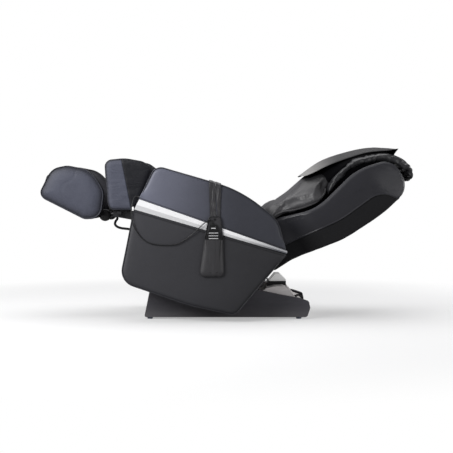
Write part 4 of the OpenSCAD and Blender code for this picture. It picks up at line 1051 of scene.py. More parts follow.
class ChairCords(ChairOperator, bpy.types.Operator):
    """Mains cord with its coil, handset cord and air hose"""
    bl_idname = "chair.cords"
    bl_label = "Cords"

    def execute(self, context):
        lead = smooth_rows([at_gland(GLAND_LENGTH + 0.1), at_gland(GLAND_LENGTH + 4), *MAINS_ROUTE], 6)
        coil = coil_points(COIL_TURNS * 40)
        tail = coil[-1] + np.array([[0, COIL_TAIL / 2, 0], [0, COIL_TAIL, 0]])
        path = np.vstack([lead[:-1], coil, tail])
        mains = add_cord("mains_lead", path, MAINS_RADIUS, "cord", "base", ["mains_cord", "cord_coil"])
        boot = even(path[:24], 30, closed=False)[:26]
        taper = 6.6 - 2.6 * np.linspace(0, 1, len(boot)) ** 0.8 - 0.45 * (np.arange(len(boot)) % 4 > 2)
        finished(add_tube("mains_strain_relief", boot, 1.0, 20, taper), "base", "black_plastic")
        path = smooth_rows(REMOTE_ROUTE, 6)
        lead = add_cord("handset_lead", path, REMOTE_RADIUS, "cord", "seat", ["remote_cord"])
        path = smooth_rows(HOSE_ROUTE, 6)
        hose = add_cord("leg_hose", path, HOSE_RADIUS, "cord", "calf", ["leg_air_hose"])
        return {"FINISHED"}


# ---------------------------------------------------------------- base

DECK_SIDE = [(171, 88), (346, 88), (346, 91.5), (312, 131), (292.5, 151), (276, 156.5), (236, 155.5),
             (196, 148.5), (171, 133)]
DECK_HALF, DECK_BOX, DECK_WALL = 213.0, 99.0, 3


class ChairBase(ChairOperator, bpy.types.Operator):
    """Pale cheeks and shelves that close the rear cover round the control box"""
    bl_idname = "chair.base"
    bl_label = "Base"

    def execute(self, context):
        rounded = [(x, z, 3) for x, z in DECK_SIDE]
        top = np.array(DECK_SIDE[4:8], float)
        shelf = [(x, z, 0.6) for x, z in np.vstack([top[::-1] - [0, DECK_WALL], top])]
        for side, sign in SIDES:
            cheek = add_slab("rear_cheek_" + side, rounded, sign * (DECK_HALF - DECK_WALL), sign * DECK_HALF,
                             0.8, (250, 115), in_chair, samples=160, face_rings=5, edge_steps=3)
            finished(cheek, "base", "rear_shell")
            plate = add_slab("rear_shelf_" + side, shelf, sign * DECK_BOX, sign * (DECK_HALF - 2), 0.6,
                             (236, 153.5), in_chair, samples=160, face_rings=3, edge_steps=2)
            finished(plate, "base", "rear_shell")
        return {"FINISHED"}


# ---------------------------------------------------------------- arms

ARM_LOWER = [(-370, -150, 80), (-20, -147, 900), (203, -120, 45), (337.5, 236.6, 6), (-419, 198.3, 8)]
ARM_UPPER = [(-410, 252.6, 5), (328, 252.6, 5), (245, 376, 140), (30, 452, 600), (-390, 430, 52)]
ARM_FILL = [(-414, 199.6, 2), (333, 239.2, 2), (326, 252.1, 2), (-410, 252.1, 2)]
CORD_CLIP = [(-448, 528, 3), (-436, 528, 3), (-436, 546, 3), (-448, 546, 3)]
LOWER_SEAM = np.array([[-419.0, 198.3], [337.5, 236.6]])
UPPER_SEAM = np.array([[-410.0, 252.6], [328.0, 252.6]])
ARM_CROWN, WELT_IN, SEAM_FADE = 90, 7.0, 70.0
STRAP_X = (-81.0, -27.0)
STRAP_FOOT, STRAP_TUCK, STRAP_DRAWN_TO = 478.0, 590.0, -50.0
STRAP_OFF, STRAP_BEND = 2.0, 20.0


def seam_edge(seam, small, large):
    """The edge's radius: small along the seam and large SEAM_FADE away from it."""
    square = left_of(unit(seam[1] - seam[0]))

    return lambda line: small + (large - small) * rise(np.abs((line - seam[0]) @ square) - 4, SEAM_FADE)


class ChairArms(ChairOperator, bpy.types.Operator):
    """Leather of the arms above and below the trim, with its seams"""
    bl_idname = "chair.arms"
    bl_label = "Arms"

    def execute(self, context):
        s = context.scene.chair_sizes
        small, large, draw = s.seam_edge / MM, s.arm_edge / MM, s.arm_draw / MM
        for side, sign in SIDES:
            lower = add_slab("arm_lower_" + side, ARM_LOWER, sign * ARM_INNER, sign * ARM_OUTER, large,
                             (-60, 20), in_seat, draw, ARM_CROWN, seam=seam_edge(LOWER_SEAM, small, large),
                             samples=320, face_rings=26)
            upper = add_slab("arm_upper_" + side, ARM_UPPER, sign * ARM_INNER, sign * ARM_OUTER, large,
                             (-60, 340), in_seat, draw, ARM_CROWN, seam=seam_edge(UPPER_SEAM, small, large),
                             samples=320, face_rings=20)
            for k, obj in enumerate((lower, upper)):
                def waves(p, k=k):
                    fine = np.where(np.abs(p[:, 1]) < ARM_OUTER - 30, 0.4 * soft_noise(p, 45, 9), 0)
                    return soft_noise(p, 120, 3 + k) * 0.5 - 0.7 + fine
                swell(obj, waves)
            finished(lower, "seat", "arm_leather", ["arm_shell_" + side])
            finished(upper, "seat", "arm_top", ["arm_pad_" + side])
            fill = add_slab("arm_inset_" + side, ARM_FILL, sign * (ARM_INNER + 0.6),
                            sign * (ARM_OUTER - 12.6), 1.5, (-50, 226), in_seat, samples=120, face_rings=4,
                            edge_steps=3)
            finished(fill, "seat", "arm_leather")
            face = sign * (ARM_OUTER - draw + 1.0)
            for name, line, lift in (("low", LOWER_SEAM, -9.0), ("high", UPPER_SEAM, 8.0)):
                ends = np.array([[line[0][0] + 26, face, line[0][1] + lift + 0.6],
                                 [line[1][0] - 26, face, line[1][1] + lift - 0.6]])
                path = placed(even(ends, 60, closed=False), in_seat)
                thread = add_stitches("arm_stitch_%s_%s" % (name, side), path, (0, sign, 0))
                finished(thread, "seat", "arm_leather", finish="thread")
            self.welt("arm_welt_upper_" + side, ARM_UPPER, sign, lambda p: p[:, 1] > 270, "arm_top")
            self.welt("arm_welt_lower_" + side, ARM_LOWER, sign, lambda p: p[:, 1] < 190, "arm_leather")
        clip = add_slab("cord_clip", CORD_CLIP, -391, -378, 2.5, (-442, 537), in_chair, samples=80,
                        face_rings=4, edge_steps=4)
        finished(clip, "seat", "grey_plastic")
        return {"FINISHED"}

    def welt(self, name, corners, sign, part, slot):
        """A sewn welt on the rounded edge, WELT_IN from the outer face, where part(outline) holds."""
        line = even(corner_outline(corners, 17), 900)
        line = line + inward(line) * 4.4
        keep = part(line)
        start = int(np.flatnonzero(keep & ~np.roll(keep, 1))[0])
        line = np.roll(line, -start, 0)[:int(keep.sum())]
        path = placed(xyz(line[:, 0], sign * (ARM_OUTER - WELT_IN), line[:, 1]), in_seat)
        path = even(path, 260, closed=False)
        finished(add_tube(name, path, 2.0), "seat", slot, finish="arm_welt")


class ChairStrap(ChairOperator, bpy.types.Operator):
    """Cloth strap over the left arm, with its hems and stud"""
    bl_idname = "chair.strap"
    bl_label = "Strap"

    def execute(self, context):
        crease = context.scene.chair_sizes.strap_crease / MM
        top = in_seat(even(corner_outline(ARM_UPPER), 1200))
        top = top[top[:, 1] > 480]
        top = top[np.argsort(top[:, 0])]
        across = np.linspace(0, 1, 25)
        x = STRAP_X[0] + (STRAP_X[1] - STRAP_X[0]) * across
        bins = np.round(top[:, 0])
        crest = np.array([top[np.abs(bins - v) < 3, 1].max() for v in x])
        a = np.radians(np.linspace(0, 90, 9))[1:]
        outer, inner, r = ARM_OUTER + STRAP_OFF, ARM_INNER - STRAP_OFF, STRAP_BEND + STRAP_OFF
        high, bend = crest + STRAP_OFF, crest + STRAP_OFF - r
        rows = []
        for t in np.linspace(0, 1, 46):
            drawn = STRAP_DRAWN_TO + (x - STRAP_DRAWN_TO) * (0.80 + 0.20 * t ** 0.7)
            rows.append(xyz(drawn, -outer, STRAP_FOOT + (bend - STRAP_FOOT) * t))
        rows += [xyz(x, -outer + r * (1 - math.cos(b)), high - r * (1 - math.sin(b))) for b in a]
        rows += [xyz(x, -(outer - r) + (outer - inner - 2 * r) * t, high) for t in np.linspace(0, 1, 18)[1:]]
        rows += [xyz(x, -inner - r * (1 - math.sin(b)), high - r * (1 - math.cos(b))) for b in a]
        rows += [xyz(x, -inner, bend + (STRAP_TUCK - bend) * t) for t in np.linspace(0, 1, 8)[1:]]
        grid = np.array(rows)
        s = np.arange(len(rows))[:, None] / len(rows)
        middle = np.exp(-((across - 0.30 - 0.45 * (1 - s)) / 0.09) ** 2) * 2.2
        waves = (np.sin(across * 15 + 2.5 * np.sin(s * 6))
                 + 0.5 * np.sin(across * 37 + 4 * np.sin(s * 9 + 1)) - middle)
        strap = add_sheet("arm_strap_cloth", grid, 2.4)
        p = points_of(strap)
        n = normals_of(strap)
        n *= np.sign((n * [0, -1, 0.3]).sum(1, keepdims=True))
        inset = np.minimum(1, 6 * across * (1 - across))
        fade = np.clip(1.2 - s * 1.4, 0.15, 1)
        set_points(strap, p + n * (waves * inset * fade * crease * 0.6).ravel()[:, None])
        subdivide(strap)
        finished(strap, "seat", "strap", ["arm_strap"])
        for k, column in enumerate((0, -1)):
            edge = points_of(strap).reshape(len(rows), len(across), 3)[:, column]
            hem = add_tube("strap_hem_%d" % (k + 1), even(edge, 120, closed=False), 1.3, 8)
            finished(hem, "seat", "strap", finish="piping")
        depths = np.array([-ARM_OUTER - 1, -ARM_OUTER - 4, -399.2, -400.0])
        stud = add_tube("strap_stud", xyz(-55.0, depths, 488.0), 5.2, 24, np.array([0.8, 0.8, 1.0, 0.7]))
        finished(stud, "pouch", "remote")
        return {"FINISHED"}


# ---------------------------------------------------------------- pouch and handset

POUCH = [(-129, 217, 24), (-12, 217, 24), (-17, 400, 60), (-28, 502, 12), (-82, 502, 12), (-102, 400, 60)]
POUCH_FOOT, POUCH_LIP, POUCH_TOP, POUCH_MIDDLE = 217.5, 392.0, 501, -64.0
POUCH_BACK = (-395.8, -397.3)
POUCH_FRONT = -410.6
KEY_X = -61
KEY_MARKS = [("handset_window", "remote", 446.0, 11.0, 2.2, -409.9)] \
    + [("key_mark_%d" % k, "button_%d" % k, 437 - 13 * k, 22, 1.5, -410.9) for k in (1, 2, 3)]


def pouch_sides(z):
    """Left and right edge of the pouch at heights z."""
    line = even(corner_outline(POUCH, 17), 900)
    left, right = line[line[:, 0] < POUCH_MIDDLE], line[line[:, 0] >= POUCH_MIDDLE]
    left, right = left[np.argsort(left[:, 1])], right[np.argsort(right[:, 1])]
    return np.interp(z, left[:, 1], left[:, 0]), np.interp(z, right[:, 1], right[:, 0])


def pouch_grid(top, rows):
    """x and z over the pouch from its foot up to a height, 41 points a row."""
    z = POUCH_FOOT + (top - POUCH_FOOT) * np.linspace(0, 1, rows)
    left, right = pouch_sides(z)
    return left[:, None] + (right - left)[:, None] * np.linspace(0, 1, 41), z[:, None]


class ChairPouch(ChairOperator, bpy.types.Operator):
    """Hanging pouch of the handset, with its piping, and the handset's window"""
    bl_idname = "chair.pouch"
    bl_label = "Pouch"

    def execute(self, context):
        x, z = pouch_grid(POUCH_TOP, 81)
        y = sum(POUCH_BACK) / 2 + 0.3 * soft_noise(xyz(x, 0, z), 40, 4)
        back = add_sheet("pouch_back", xyz(x, y, z), 1.2)
        finished(back, "pouch", "pouch", ["remote_pouch"])
        x, z = pouch_grid(POUCH_LIP, 61)
        depth = (1 - np.abs(2 * np.linspace(0, 1, 41) - 1) ** 5) * (1 - np.exp(-((z - POUCH_FOOT) / 9.0)))
        at = xyz(x, 0, z)
        folds = 1.1 * soft_noise(at * [1, 1, 0.30], 19, 11) + 0.8 * creases(at * [1, 1, 0.4], 30, 12)
        hang = POUCH_BACK[1] - 0.8
        y = hang + (POUCH_FRONT - POUCH_BACK[1] + 0.8) * depth - np.maximum(folds * depth, -0.4)
        front = add_sheet("pouch_front", xyz(x, y, z), 1.2)
        subdivide(front)
        finished(front, "pouch", "pouch")
        line = even(corner_outline(POUCH, 17), 260)
        line += (np.array([-62, 330]) - line) * 0.012
        loop = xyz(line[:, 0], hang, line[:, 1])
        finished(add_ring_tube("pouch_piping", loop, 2.3), "pouch", "pouch", finish="piping")
        lip = xyz(x[-1], y[-1], POUCH_LIP)
        finished(add_tube("pouch_lip", even(lip, 60, closed=False), 1.3), "pouch", "pouch", finish="piping")
        for name, body, z, half, tall, y in KEY_MARKS:
            corners = [(KEY_X + i * half, z + k * tall, 1) for i, k in ((-1, -1), (1, -1), (1, 1), (-1, 1))]
            bar = add_slab(name, corners, y, y + 0.9, 0.3, (KEY_X, z), in_chair, samples=80, face_rings=3,
                           edge_steps=2)
            finished(bar, body, "button", finish="key_mark")
        return {"FINISHED"}


# ---------------------------------------------------------------- seat


SEAT_ENDS, SEAT_HEIGHTS, SEAT_HALF = (-348.0, 148.0), (154.4, 226.4), 240.0
SEAT_CHANNELS = (171, 320)


class ChairSeat(ChairOperator, bpy.types.Operator):
    """Seat cushion with its channels, and the cloth that joins it to the back and the legs"""
    bl_idname = "chair.seat"
    bl_label = "Seat"

    def execute(self, context):
        u0, u1, bottom, top, half = *SEAT_ENDS, *SEAT_HEIGHTS, SEAT_HALF
        s = np.concatenate([[0, 0.004, 0.012, 0.022, 0.035, 0.055], np.linspace(0.075, 0.925, 60),
                            [0.945, 0.965, 0.978, 0.988, 0.996, 1]])
        end = np.minimum(s, 1 - s) / 0.07
        e = 0.30 + 0.70 * np.sqrt(np.clip(1 - np.clip(1 - end, 0, 1) ** 2, 0, 1))
        c, q = around(120)
        w = (half * (0.965 + 0.035 * e))[:, None]
        y = w * powered(c, 0.42)
        t = powered(q, 0.5)
        mid = (top + bottom) / 2 - 6 * (1 - e)
        low, high = bottom + (mid - bottom) * (1 - e) * 0.8, mid + (top - mid) * e
        z = ((low + high) / 2)[:, None] + t * ((high - low) / 2)[:, None]
        z += np.where(t > 0, 8 * e[:, None] * t * (1 - (y / w) ** 2), 0)
        rings = xyz((u0 + (u1 - u0) * s)[:, None], y, z)
        cushion = add_loft("seat_cushion_leather", placed(rings, in_seat))
        puffed(cushion, 8.0, lambda p: seat_local(p)[:, 1] < bottom + 14, voxel=7.0, frames=12)

        def seams(p):
            uv = seat_local(p)
            above = rise(uv[:, 1] - bottom - 20, 30)
            lines = sum(np.exp(-((uv[:, 0] - u0 - u) / 7.0) ** 2) for u in SEAT_CHANNELS)
            side = np.exp(-((uv[:, 1] - (top - 22)) / 2.5) ** 2) * (np.abs(p[:, 1]) > half - 22)
            ends = 0.5 * creases(p, 34, 21) * above
            return -7.0 * lines * above - 2.0 * side + ends
        swell(cushion, seams)
        subdivide(cushion)
        finished(cushion, "seat", "seat_leather", ["seat_cushion"])
        self.gusset("seat_back_gusset", [in_seat([128, 168]), in_seat([146, 190]), in_seat([160, 232]),
                                         in_back([30, 72]), in_back([36, 86]), in_back([44, 92])],
                    [226, 226, 216, 196, 190, 186], "seat", "back")
        self.gusset("knee_gusset", [in_seat([-334, 178]), in_seat([-346, 186]), in_seat([-356, 198]),
                                    in_leg([-2, 44]), in_leg([-12, 50]), in_leg([-24, 56])],
                    [160] * 6, "seat", "calf")
        return {"FINISHED"}

    def gusset(self, name, line, halves, a, b):
        """A loose strip of cloth across a joint: a smooth line carried from side to side, with small
        folds."""
        rows = smooth_rows(np.c_[np.array(line), halves], 6)
        x, z, half = (rows[:, k, None] for k in range(3))
        y = half * np.linspace(-1, 1, 61)
        inside = np.sin(np.linspace(0, np.pi, len(rows)))[:, None]
        fold = 2.5 * inside * soft_noise(xyz(x * 0.3, y, z * 0.3), 22, 5)
        obj = add_sheet(name, xyz(x, y, z + fold), 1.6)
        subdivide(obj)
        finished(obj, None, "back_cloth")
        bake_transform(obj)


# ---------------------------------------------------------------- back

BAND = [(44, -36, 6), (210, -62, 300), (420, -96, 400), (652, -88, 110), (700, -167, 3),
        (786, -167, 80), (785, 12, 92), (610, 62, 300), (345, 12, 260), (165, 82, 200), (44, 88, 10)]
BAND_SEAM = [(44, -36), (210, -62), (420, -96), (652, -88), (700, -167)]
COVER_TOP, COVER_ROUND = -34.0, 12.0
COVER_LINE = [(12, -126, 8), (110, -128, 200), (400, -186, 500), (600, -184, 500), (712.3, -168.5, 4)]
PLAN = [(-60, 0, 0), (-60, 239, 0), (0, 239, 0), (190, 239, 80), (300, 290, 120), (660, 290, 160),
        (800, 246, 0), (860, 236, 0), (860, 0, 0)]
HEAD_PATH = [
    (450, 84, 238, 7), (464, 93, 250, 16), (490, 104, 248, 22), (530, 112, 240, 24), (580, 110, 244, 24),
    (630, 98, 244, 24), (680, 80, 240, 24), (730, 56, 230, 22), (775, 26, 217, 20), (806, -12, 214, 18),
    (820, -50, 212, 16), (824, -84, 210, 17), (820, -112, 206, 15), (812, -130, 196, 5)]
HEAD_SIDE = [(437, 30), (456, 43), (494, 60), (538, 73), (586, 81), (634, 78), (684, 64), (732, 44),
             (778, 14), (808, -18), (829, -52), (837, -84), (833, -112), (819, -130)]
FLAP_TOP = [(385, 183, 178, 150), (400, 185, 171, 172), (440, 187, 162, 190), (490, 188, 156, 200),
            (540, 182, 147, 204), (600, 167, 132, 204), (660, 146, 115, 203), (710, 126, 98, 200),
            (760, 101, 73, 193), (800, 74, 50, 185), (828, 51, 37, 178), (844, 36, 29, 174),
            (851, 28.5, 26, 171), (836, 23, 21.6, 168), (820, 16, 14.6, 164), (811, 7, 5.6, 158),
            (812, -2, -3.6, 154), (823, -6, -7.6, 150)]
NECK = [(448, 120, 74, 150), (455, 146, 76, 190), (470, 164, 82, 212), (500, 166, 90, 220),
        (540, 161, 98, 224), (580, 154, 102, 226), (630, 143, 98, 224), (680, 126, 86, 218),
        (724, 105, 66, 210), (760, 84, 44, 200), (790, 62, 22, 180), (806, 44, 6, 160), (812, 30, -2, 130)]
PAD_CROWN = [(34, 92), (40, 108), (60, 124), (110, 146), (137, 152), (182, 153), (227, 143), (282, 143),
             (342, 150), (398, 158), (430, 161), (446, 160), (462, 156), (478, 149), (490, 138), (496, 124)]
PAD_FOLDS = [((150, 100), (224, 117), (298, 110), (370, 80), 5.0, 11.0),
             ((250, 112), (320, 132), (371, 146), (412, 152), 3.5, 10.0),
             ((180, 112), (239, 128), (290, 136), (330, 143), 3.0, 9.0),
             ((371, 72), (392, 88), (412, 99), (443, 110), 4.0, 11.0),
             ((468, 100), (448, 94), (430, 76), (420, 44), -6.0, 12.0),
             ((150, 92), (240, 84), (320, 62), (400, 42), 4.0, 11.0),
             ((170, 86), (240, 70), (320, 48), (390, 34), -4.0, 10.0)]
PAD_FORM = [
    (34, 190, 84, 96), (40, 201, 62, 118), (60, 204.9, 56, 128), (110, 204.9, 62, 140), (136, 204.9, 88, 146),
    (150, 234, 90, 148), (200, 240, 86, 149), (225, 246, 76, 147), (245, 250, 66, 148), (300, 253.9, 46, 144),
    (350, 255.9, 34, 142), (368, 255.9, 32, 142), (386, 254, 34, 143), (424, 243, 44, 138),
    (442, 232, 60, 136), (460, 220, 74, 134), (478, 204, 84, 130), (490, 186, 94, 122), (496, 150, 102, 112)]


def plan_width(u):
    """Half width of the back at distance u from the hip."""
    line = even(corner_outline(PLAN[::-1], 25), 2400)
    line = line[line[:, 1] > 120]
    line = line[np.argsort(line[:, 0])]
    return np.interp(u, line[:, 0], line[:, 1])


def path_pad(path, n, squareness, steps, side):
    """Rings of a padded sheet along (u, v, half width, half thickness), a rounded oval at each station.
    side gives the path of its edges: a point goes over to it as it nears the edge, by 3t^2 - 2t^3."""
    rows = smooth_rows(path, steps)
    rows[:, 3] = np.maximum(rows[:, 3], 0.8)
    t = unit(np.gradient(rows[:, :2], axis=0))
    out = left_of(t)
    c, s = around(n)
    w, h = rows[:, 2, None], rows[:, 3, None]
    y = w * powered(c, squareness)
    lift = h * powered(s, 0.6) + np.where(s > 0, h / 5 * (1 - (y / w) ** 2), 0)
    fall = (smooth_rows(side, steps) - rows[:, :2])[:, None] * rise(np.abs(y) - 105, 115)[..., None]
    uv = rows[:, None, :2] + out[:, None] * lift[..., None] + fall
    return xyz(uv[..., 0], y, uv[..., 1])


def wing_rings(table, n, steps):
    """Rings of the pillow from (u, crown, edge, half width): the upper side falls from the crown to the edge
    by (1 - |y / w|^2.2)^0.6. The under side is a fifth of that above the edge, and below it at the upper
    end."""
    u, crown, edge, half = (column[:, None] for column in smooth_rows(table, steps).T)
    c, s = around(n)
    across = powered(c, 0.8)
    dome = (1 - np.abs(across) ** 2.2) ** 0.6
    under = 0.22 - 0.62 * rise(u - 560, 120)
    high = np.where(s > 0, dome, under * dome)
    return xyz(u, half * across, edge + np.maximum(crown - edge, 1.4) * high + 0.7 * powered(s, 0.5))


def to_line(p, line):
    """Distance of points in a plane to an open line, and how far along it, from 0 to 1."""
    line = smooth_rows(line, 6)
    d = np.linalg.norm(p[:, None, :] - line, axis=2)
    return d.min(1), d.argmin(1) / (len(line) - 1.0)


class ChairBack(ChairOperator, bpy.types.Operator):
    """Side bands, rear cover, back pad, head roll and pillow of the back"""
    bl_idname = "chair.back"
    bl_label = "Back"

    def execute(self, context):
        self.depth = context.scene.chair_sizes.fold_depth / MM
        self.bands()
        self.inner_cloth()
        self.cover()
        self.pad()
        self.roll()
        self.pillow()
        return {"FINISHED"}

    def bands(self):
        """The side bands, sharp along their lower seam, with a piping on it."""
        seam = np.array(BAND_SEAM + BAND_SEAM[::-1], float)

        def edge(line):
            d = edge_distance(line, seam)
            return 2.5 + 14.0 * rise(d - 3, 46)
        for side, sign in SIDES:
            def shift(u, sign=sign):
                return sign * (plan_width(u) - BAND_THICKNESS)
            band = add_slab("band_" + side, BAND, 0.0, sign * BAND_THICKNESS, 12, (400, -25), in_back, 6, 60,
                            shift=shift, seam=edge, samples=420, face_rings=26, edge_steps=8,
                            via=(660, 0, 500, 140))

            def leather_waves(p, sign=sign):
                q = back_local(p)
                outer = sign * q[:, 1] > plan_width(q[:, 0]) - 12
                middle = np.exp(-((q[:, 2] + 25) / 55.0) ** 2)
                return np.where(outer, 3.5 * middle, 0) + 0.7 * soft_noise(p, 60, 2) \
                    + 0.8 * creases(p, 55, 5) * (q[:, 0] > 690)
            swell(band, leather_waves)
            finished(band, "back", "band", ["back_bands"] if sign < 0 else ())
            line = even(corner_outline(BAND, 25), 700)
            line = line[edge_distance(line, seam) < 26]
            line = line[(line[:, 0] > 60) & (line[:, 0] < 702) & (line[:, 1] < -30)]
            line = line[np.argsort(line[:, 0] - line[:, 1] * (line[:, 0] > 600))]
            path = xyz(line[:, 0], sign * (plan_width(line[:, 0]) - 1.6), line[:, 1] - 0.4)
            path = even(placed(path, in_back), 150, closed=False)
            finished(add_tube("band_piping_" + side, path, 1.3), "back", "band", finish="piping")

    def inner_cloth(self):
        """Cloth inside each band, near black as painted shade: from below the band's top edge up under the
        pad and the roll.
        """
        u = np.linspace(60, 800, 120)
        pad = np.array(PAD_FORM).T
        roll = smooth_rows(np.c_[HEAD_SIDE, np.array(HEAD_PATH)[:, 2]], 8)
        roll = roll[:np.argmax(roll[:, 0])].T
        crest = np.array([(44, 88), (165, 82), (345, 12), (610, 64), (783, 16)], float)
        low = np.interp(u, *smooth_rows(crest, 8).T) - 40
        over = rise(u - 425, 30)
        high = (1 - over) * (np.interp(u, pad[0], pad[2]) + 16) + over * np.interp(u, roll[0], roll[1])
        low = np.minimum(low, high - 8)
        half = (1 - over) * (np.interp(u, pad[0], pad[1]) - 12) + over * (np.interp(u, roll[0], roll[2]) - 14)
        half = np.minimum(half, plan_width(u) - BAND_THICKNESS - 4)[:, None]
        along = u[:, None]
        t = np.linspace(0, 1, 14)
        for side, sign in SIDES:
            z = low[:, None] + (high - low)[:, None] * t
            sag = 2.0 * np.sin(np.pi * t) * soft_noise(xyz(along, z * 0.5, 0), 30, 6)
            wall = add_sheet("inner_cloth_" + side, placed(xyz(along, sign * half + sag, z), in_back), 1.5)
            finished(wall, "back", "back_cloth", finish="inner_cloth")

    def cover(self):
        """A U-shaped section at each station: side walls down from the band's seam, and a rounded rear."""
        low = even(corner_outline([*COVER_LINE, (712, 60, 5), (12, 60, 5)], 17), 2400)
        low = low[low[:, 1] < -100]
        low = low[np.argsort(low[:, 0])]
        u = np.concatenate([[12.3, 13, 15, 19, 25], np.linspace(35, 712, 96)])
        bottom = np.interp(u, low[:, 0], low[:, 1])
        bottom[:4] += [8, 4, 1.6, 0.4]
        seam = np.array(BAND_SEAM, float)
        top = np.interp(u, seam[:, 0], seam[:, 1]) - 1.0
        top[u < 44] = COVER_TOP
        a = np.radians(np.linspace(0, 90, 8))
        depth = np.maximum(top - bottom, 0.5)
        r = np.minimum(COVER_ROUND, depth * 0.6)
        half, u, bottom, depth, r = (v[:, None] for v in (plan_width(u) - 3.0, u, bottom, depth, r))
        half_section = [xyz(u, half, bottom + r + (depth - r) * np.linspace(1, 0, 10)[:-1]),
                        xyz(u, half - r * (1 - np.cos(a)), bottom + r * (1 - np.sin(a))),
                        xyz(u, (half - r) * np.linspace(1, 0, 41)[1:], bottom)]
        rings = np.concatenate(half_section, 1)
        rings = np.concatenate([rings, rings[:, -2::-1] * [1, -1, 1]], 1)
        wall = rings[:1].copy()
        wall[..., 2] = COVER_TOP
        cover = add_sheet("back_cover_cloth", placed(np.concatenate([wall, rings]), in_back))
        n = normals_of(cover)
        p = points_of(cover)
        q = back_local(p)
        out = np.sign((n * (p - p.mean(0))).sum(1).sum())
        slack = rise(q[:, 0] - 60, 80) * rise(690 - q[:, 0], 60)
        pull = 1.6 * soft_noise(p * [1, 0.5, 1], 70, 8) + 0.8 * creases(p, 60, 13)
        set_points(cover, p + n * (out * pull * slack)[:, None])
        shell = cover.modifiers.new("wall", "SOLIDIFY")
        shell.thickness = 4.0 * MM
        shell.offset = -1.0 if out > 0 else 1.0
        finished(cover, "back", "back_cloth", ["back_rear_cover"])

    def pad(self):
        """The back's loose leather pad: a rounded section at each station, filled, then folded."""
        rows = smooth_rows(PAD_FORM, 4)
        c, s = around(150)
        y = (rows[:, 1, None] - 2.0) * np.where(s > 0, powered(c, 0.85), powered(c, 0.42))
        low = rows[:, 2, None] + 8.0
        crown = np.interp(rows[:, 0], *smooth_rows(PAD_CROWN, 6).T)[:, None]
        z = np.where(s > 0, low + (crown - low) * np.abs(s) ** 0.85, low - 7.0 * np.abs(s) ** 0.5)
        pad = add_loft("back_pad_leather", placed(xyz(rows[:, 0, None], y, z), in_back))
        puffed(pad, 9.0, lambda p: back_local(p)[:, 2] < 40, slack=0.03, ease=10)
        depth = self.depth

        def folds(p):
            q = back_local(p)
            flat = q[:, [0, 2]]
            side = rise(np.abs(q[:, 1]) - 60, 90)
            total = np.zeros(len(q))
            for *line, height, width in PAD_FOLDS:
                d, along = to_line(flat, np.array(line, float))
                ends = np.clip(np.sin(np.pi * (0.06 + 0.88 * along)) * 1.6, 0, 1)
                total += height * np.exp(-(d / width) ** 2) * ends
            fan = np.degrees(np.arctan2(q[:, 2] - 40, q[:, 0] - 60))
            reach = np.hypot(q[:, 0] - 60, q[:, 2] - 40)
            pulled = creases(xyz(fan, reach * 0.03, q[:, 1] * 0.04), 9.0, 33, 0.30)
            pulled = 0.62 * pulled * rise(reach - 110, 130) * (0.3 + 0.7 * side)
            broad = soft_noise(p, (90, 70, 60), 17)
            channel = np.exp(-((q[:, 0] - 222) / 9.0) ** 2) * (1 - side)
            return 1.35 * side * total + depth * (0.5 * broad - pulled) - 4.0 * channel
        swell(pad, folds)
        subdivide(pad)
        finished(pad, "back", "back_pad", ["back_pad"])
        u = np.linspace(64, 442, 60)
        form = np.array(PAD_FORM)
        low = np.interp(u, *smooth_rows(form[:, [0, 2]], 6).T)
        hem = xyz(u, np.interp(u, *form[:, :2].T) - 3.0, low + 6.0)
        for side, sign in SIDES:
            tube = add_tube("pad_hem_" + side, placed(hem * [1, sign, 1], in_back), 4.2, 12)
            finished(tube, "back", "back_pad")

    def roll(self):
        """The head roll: filled, with gathers across it and a crumpled turn over the top."""
        roll = add_loft("head_roll_leather", placed(path_pad(HEAD_PATH, 130, 0.45, 7, HEAD_SIDE), in_back))
        puffed(roll, 7.0, lambda p: back_local(p)[:, 2] < -120, slack=0.04)
        depth = self.depth

        def folds(p):
            q = back_local(p)
            tip = rise(q[:, 0] - 770, 50) * rise(-10 - q[:, 2], 50)
            edge = rise(np.abs(q[:, 1]) - 165, 50)
            bunch = soft_noise(q, (22, 26, 20), 41) - 0.6 * np.exp(-((q[:, 2] + 82) / 7.0) ** 2)
            run = soft_noise(xyz(q[:, 0] - q[:, 2] * 0.4, q[:, 1] * 0.3, q[:, 2] * 0.4), (15, 50, 50), 43)
            long = soft_noise(q, (90, 60, 40), 45)
            thin = creases(p, 70, 47, 0.10)
            return depth * (2.3 * tip * bunch + 0.32 * run * (0.5 + edge) + 0.5 * long + 0.5 * thin)
        swell(roll, folds)
        subdivide(roll)
        finished(roll, "back", "head_roll", ["head_cover"])

    def pillow(self):
        """The pillow flap, a thin wing with a sharp sewn edge, and the black cushion under it, a painted
        shadow of the flap.
        """
        flap = add_loft("pillow_leather", placed(wing_rings(FLAP_TOP, 150, 7), in_back))

        def folds(p):
            q = back_local(p)
            tip = rise(q[:, 0] - 770, 60)
            gather = soft_noise(q * [0.3, 1, 0.3], (40, 18, 40), 51)
            inner = rise(190 - np.abs(q[:, 1]), 60)
            return (0.8 * tip * gather * rise(840 - q[:, 0], 20) + 1.2 * soft_noise(p, 70, 53)
                    + 0.8 * creases(p, 80, 55)) * inner
        swell(flap, folds)
        subdivide(flap)
        finished(flap, "pillow", "pillow", ["pillow_flap"])
        # Painted shadow: a near-black cushion fills the shade between the flap, the pad and the roll.
        neck = add_loft("neck_cushion_painted_shadow", placed(wing_rings(NECK, 110, 6), in_back))
        rumple(neck, (1.2, 60, 57), (1.0, 70, 59), 0)
        finished(neck, "back", "back_cloth", finish="inner_cloth")


# ---------------------------------------------------------------- leg unit

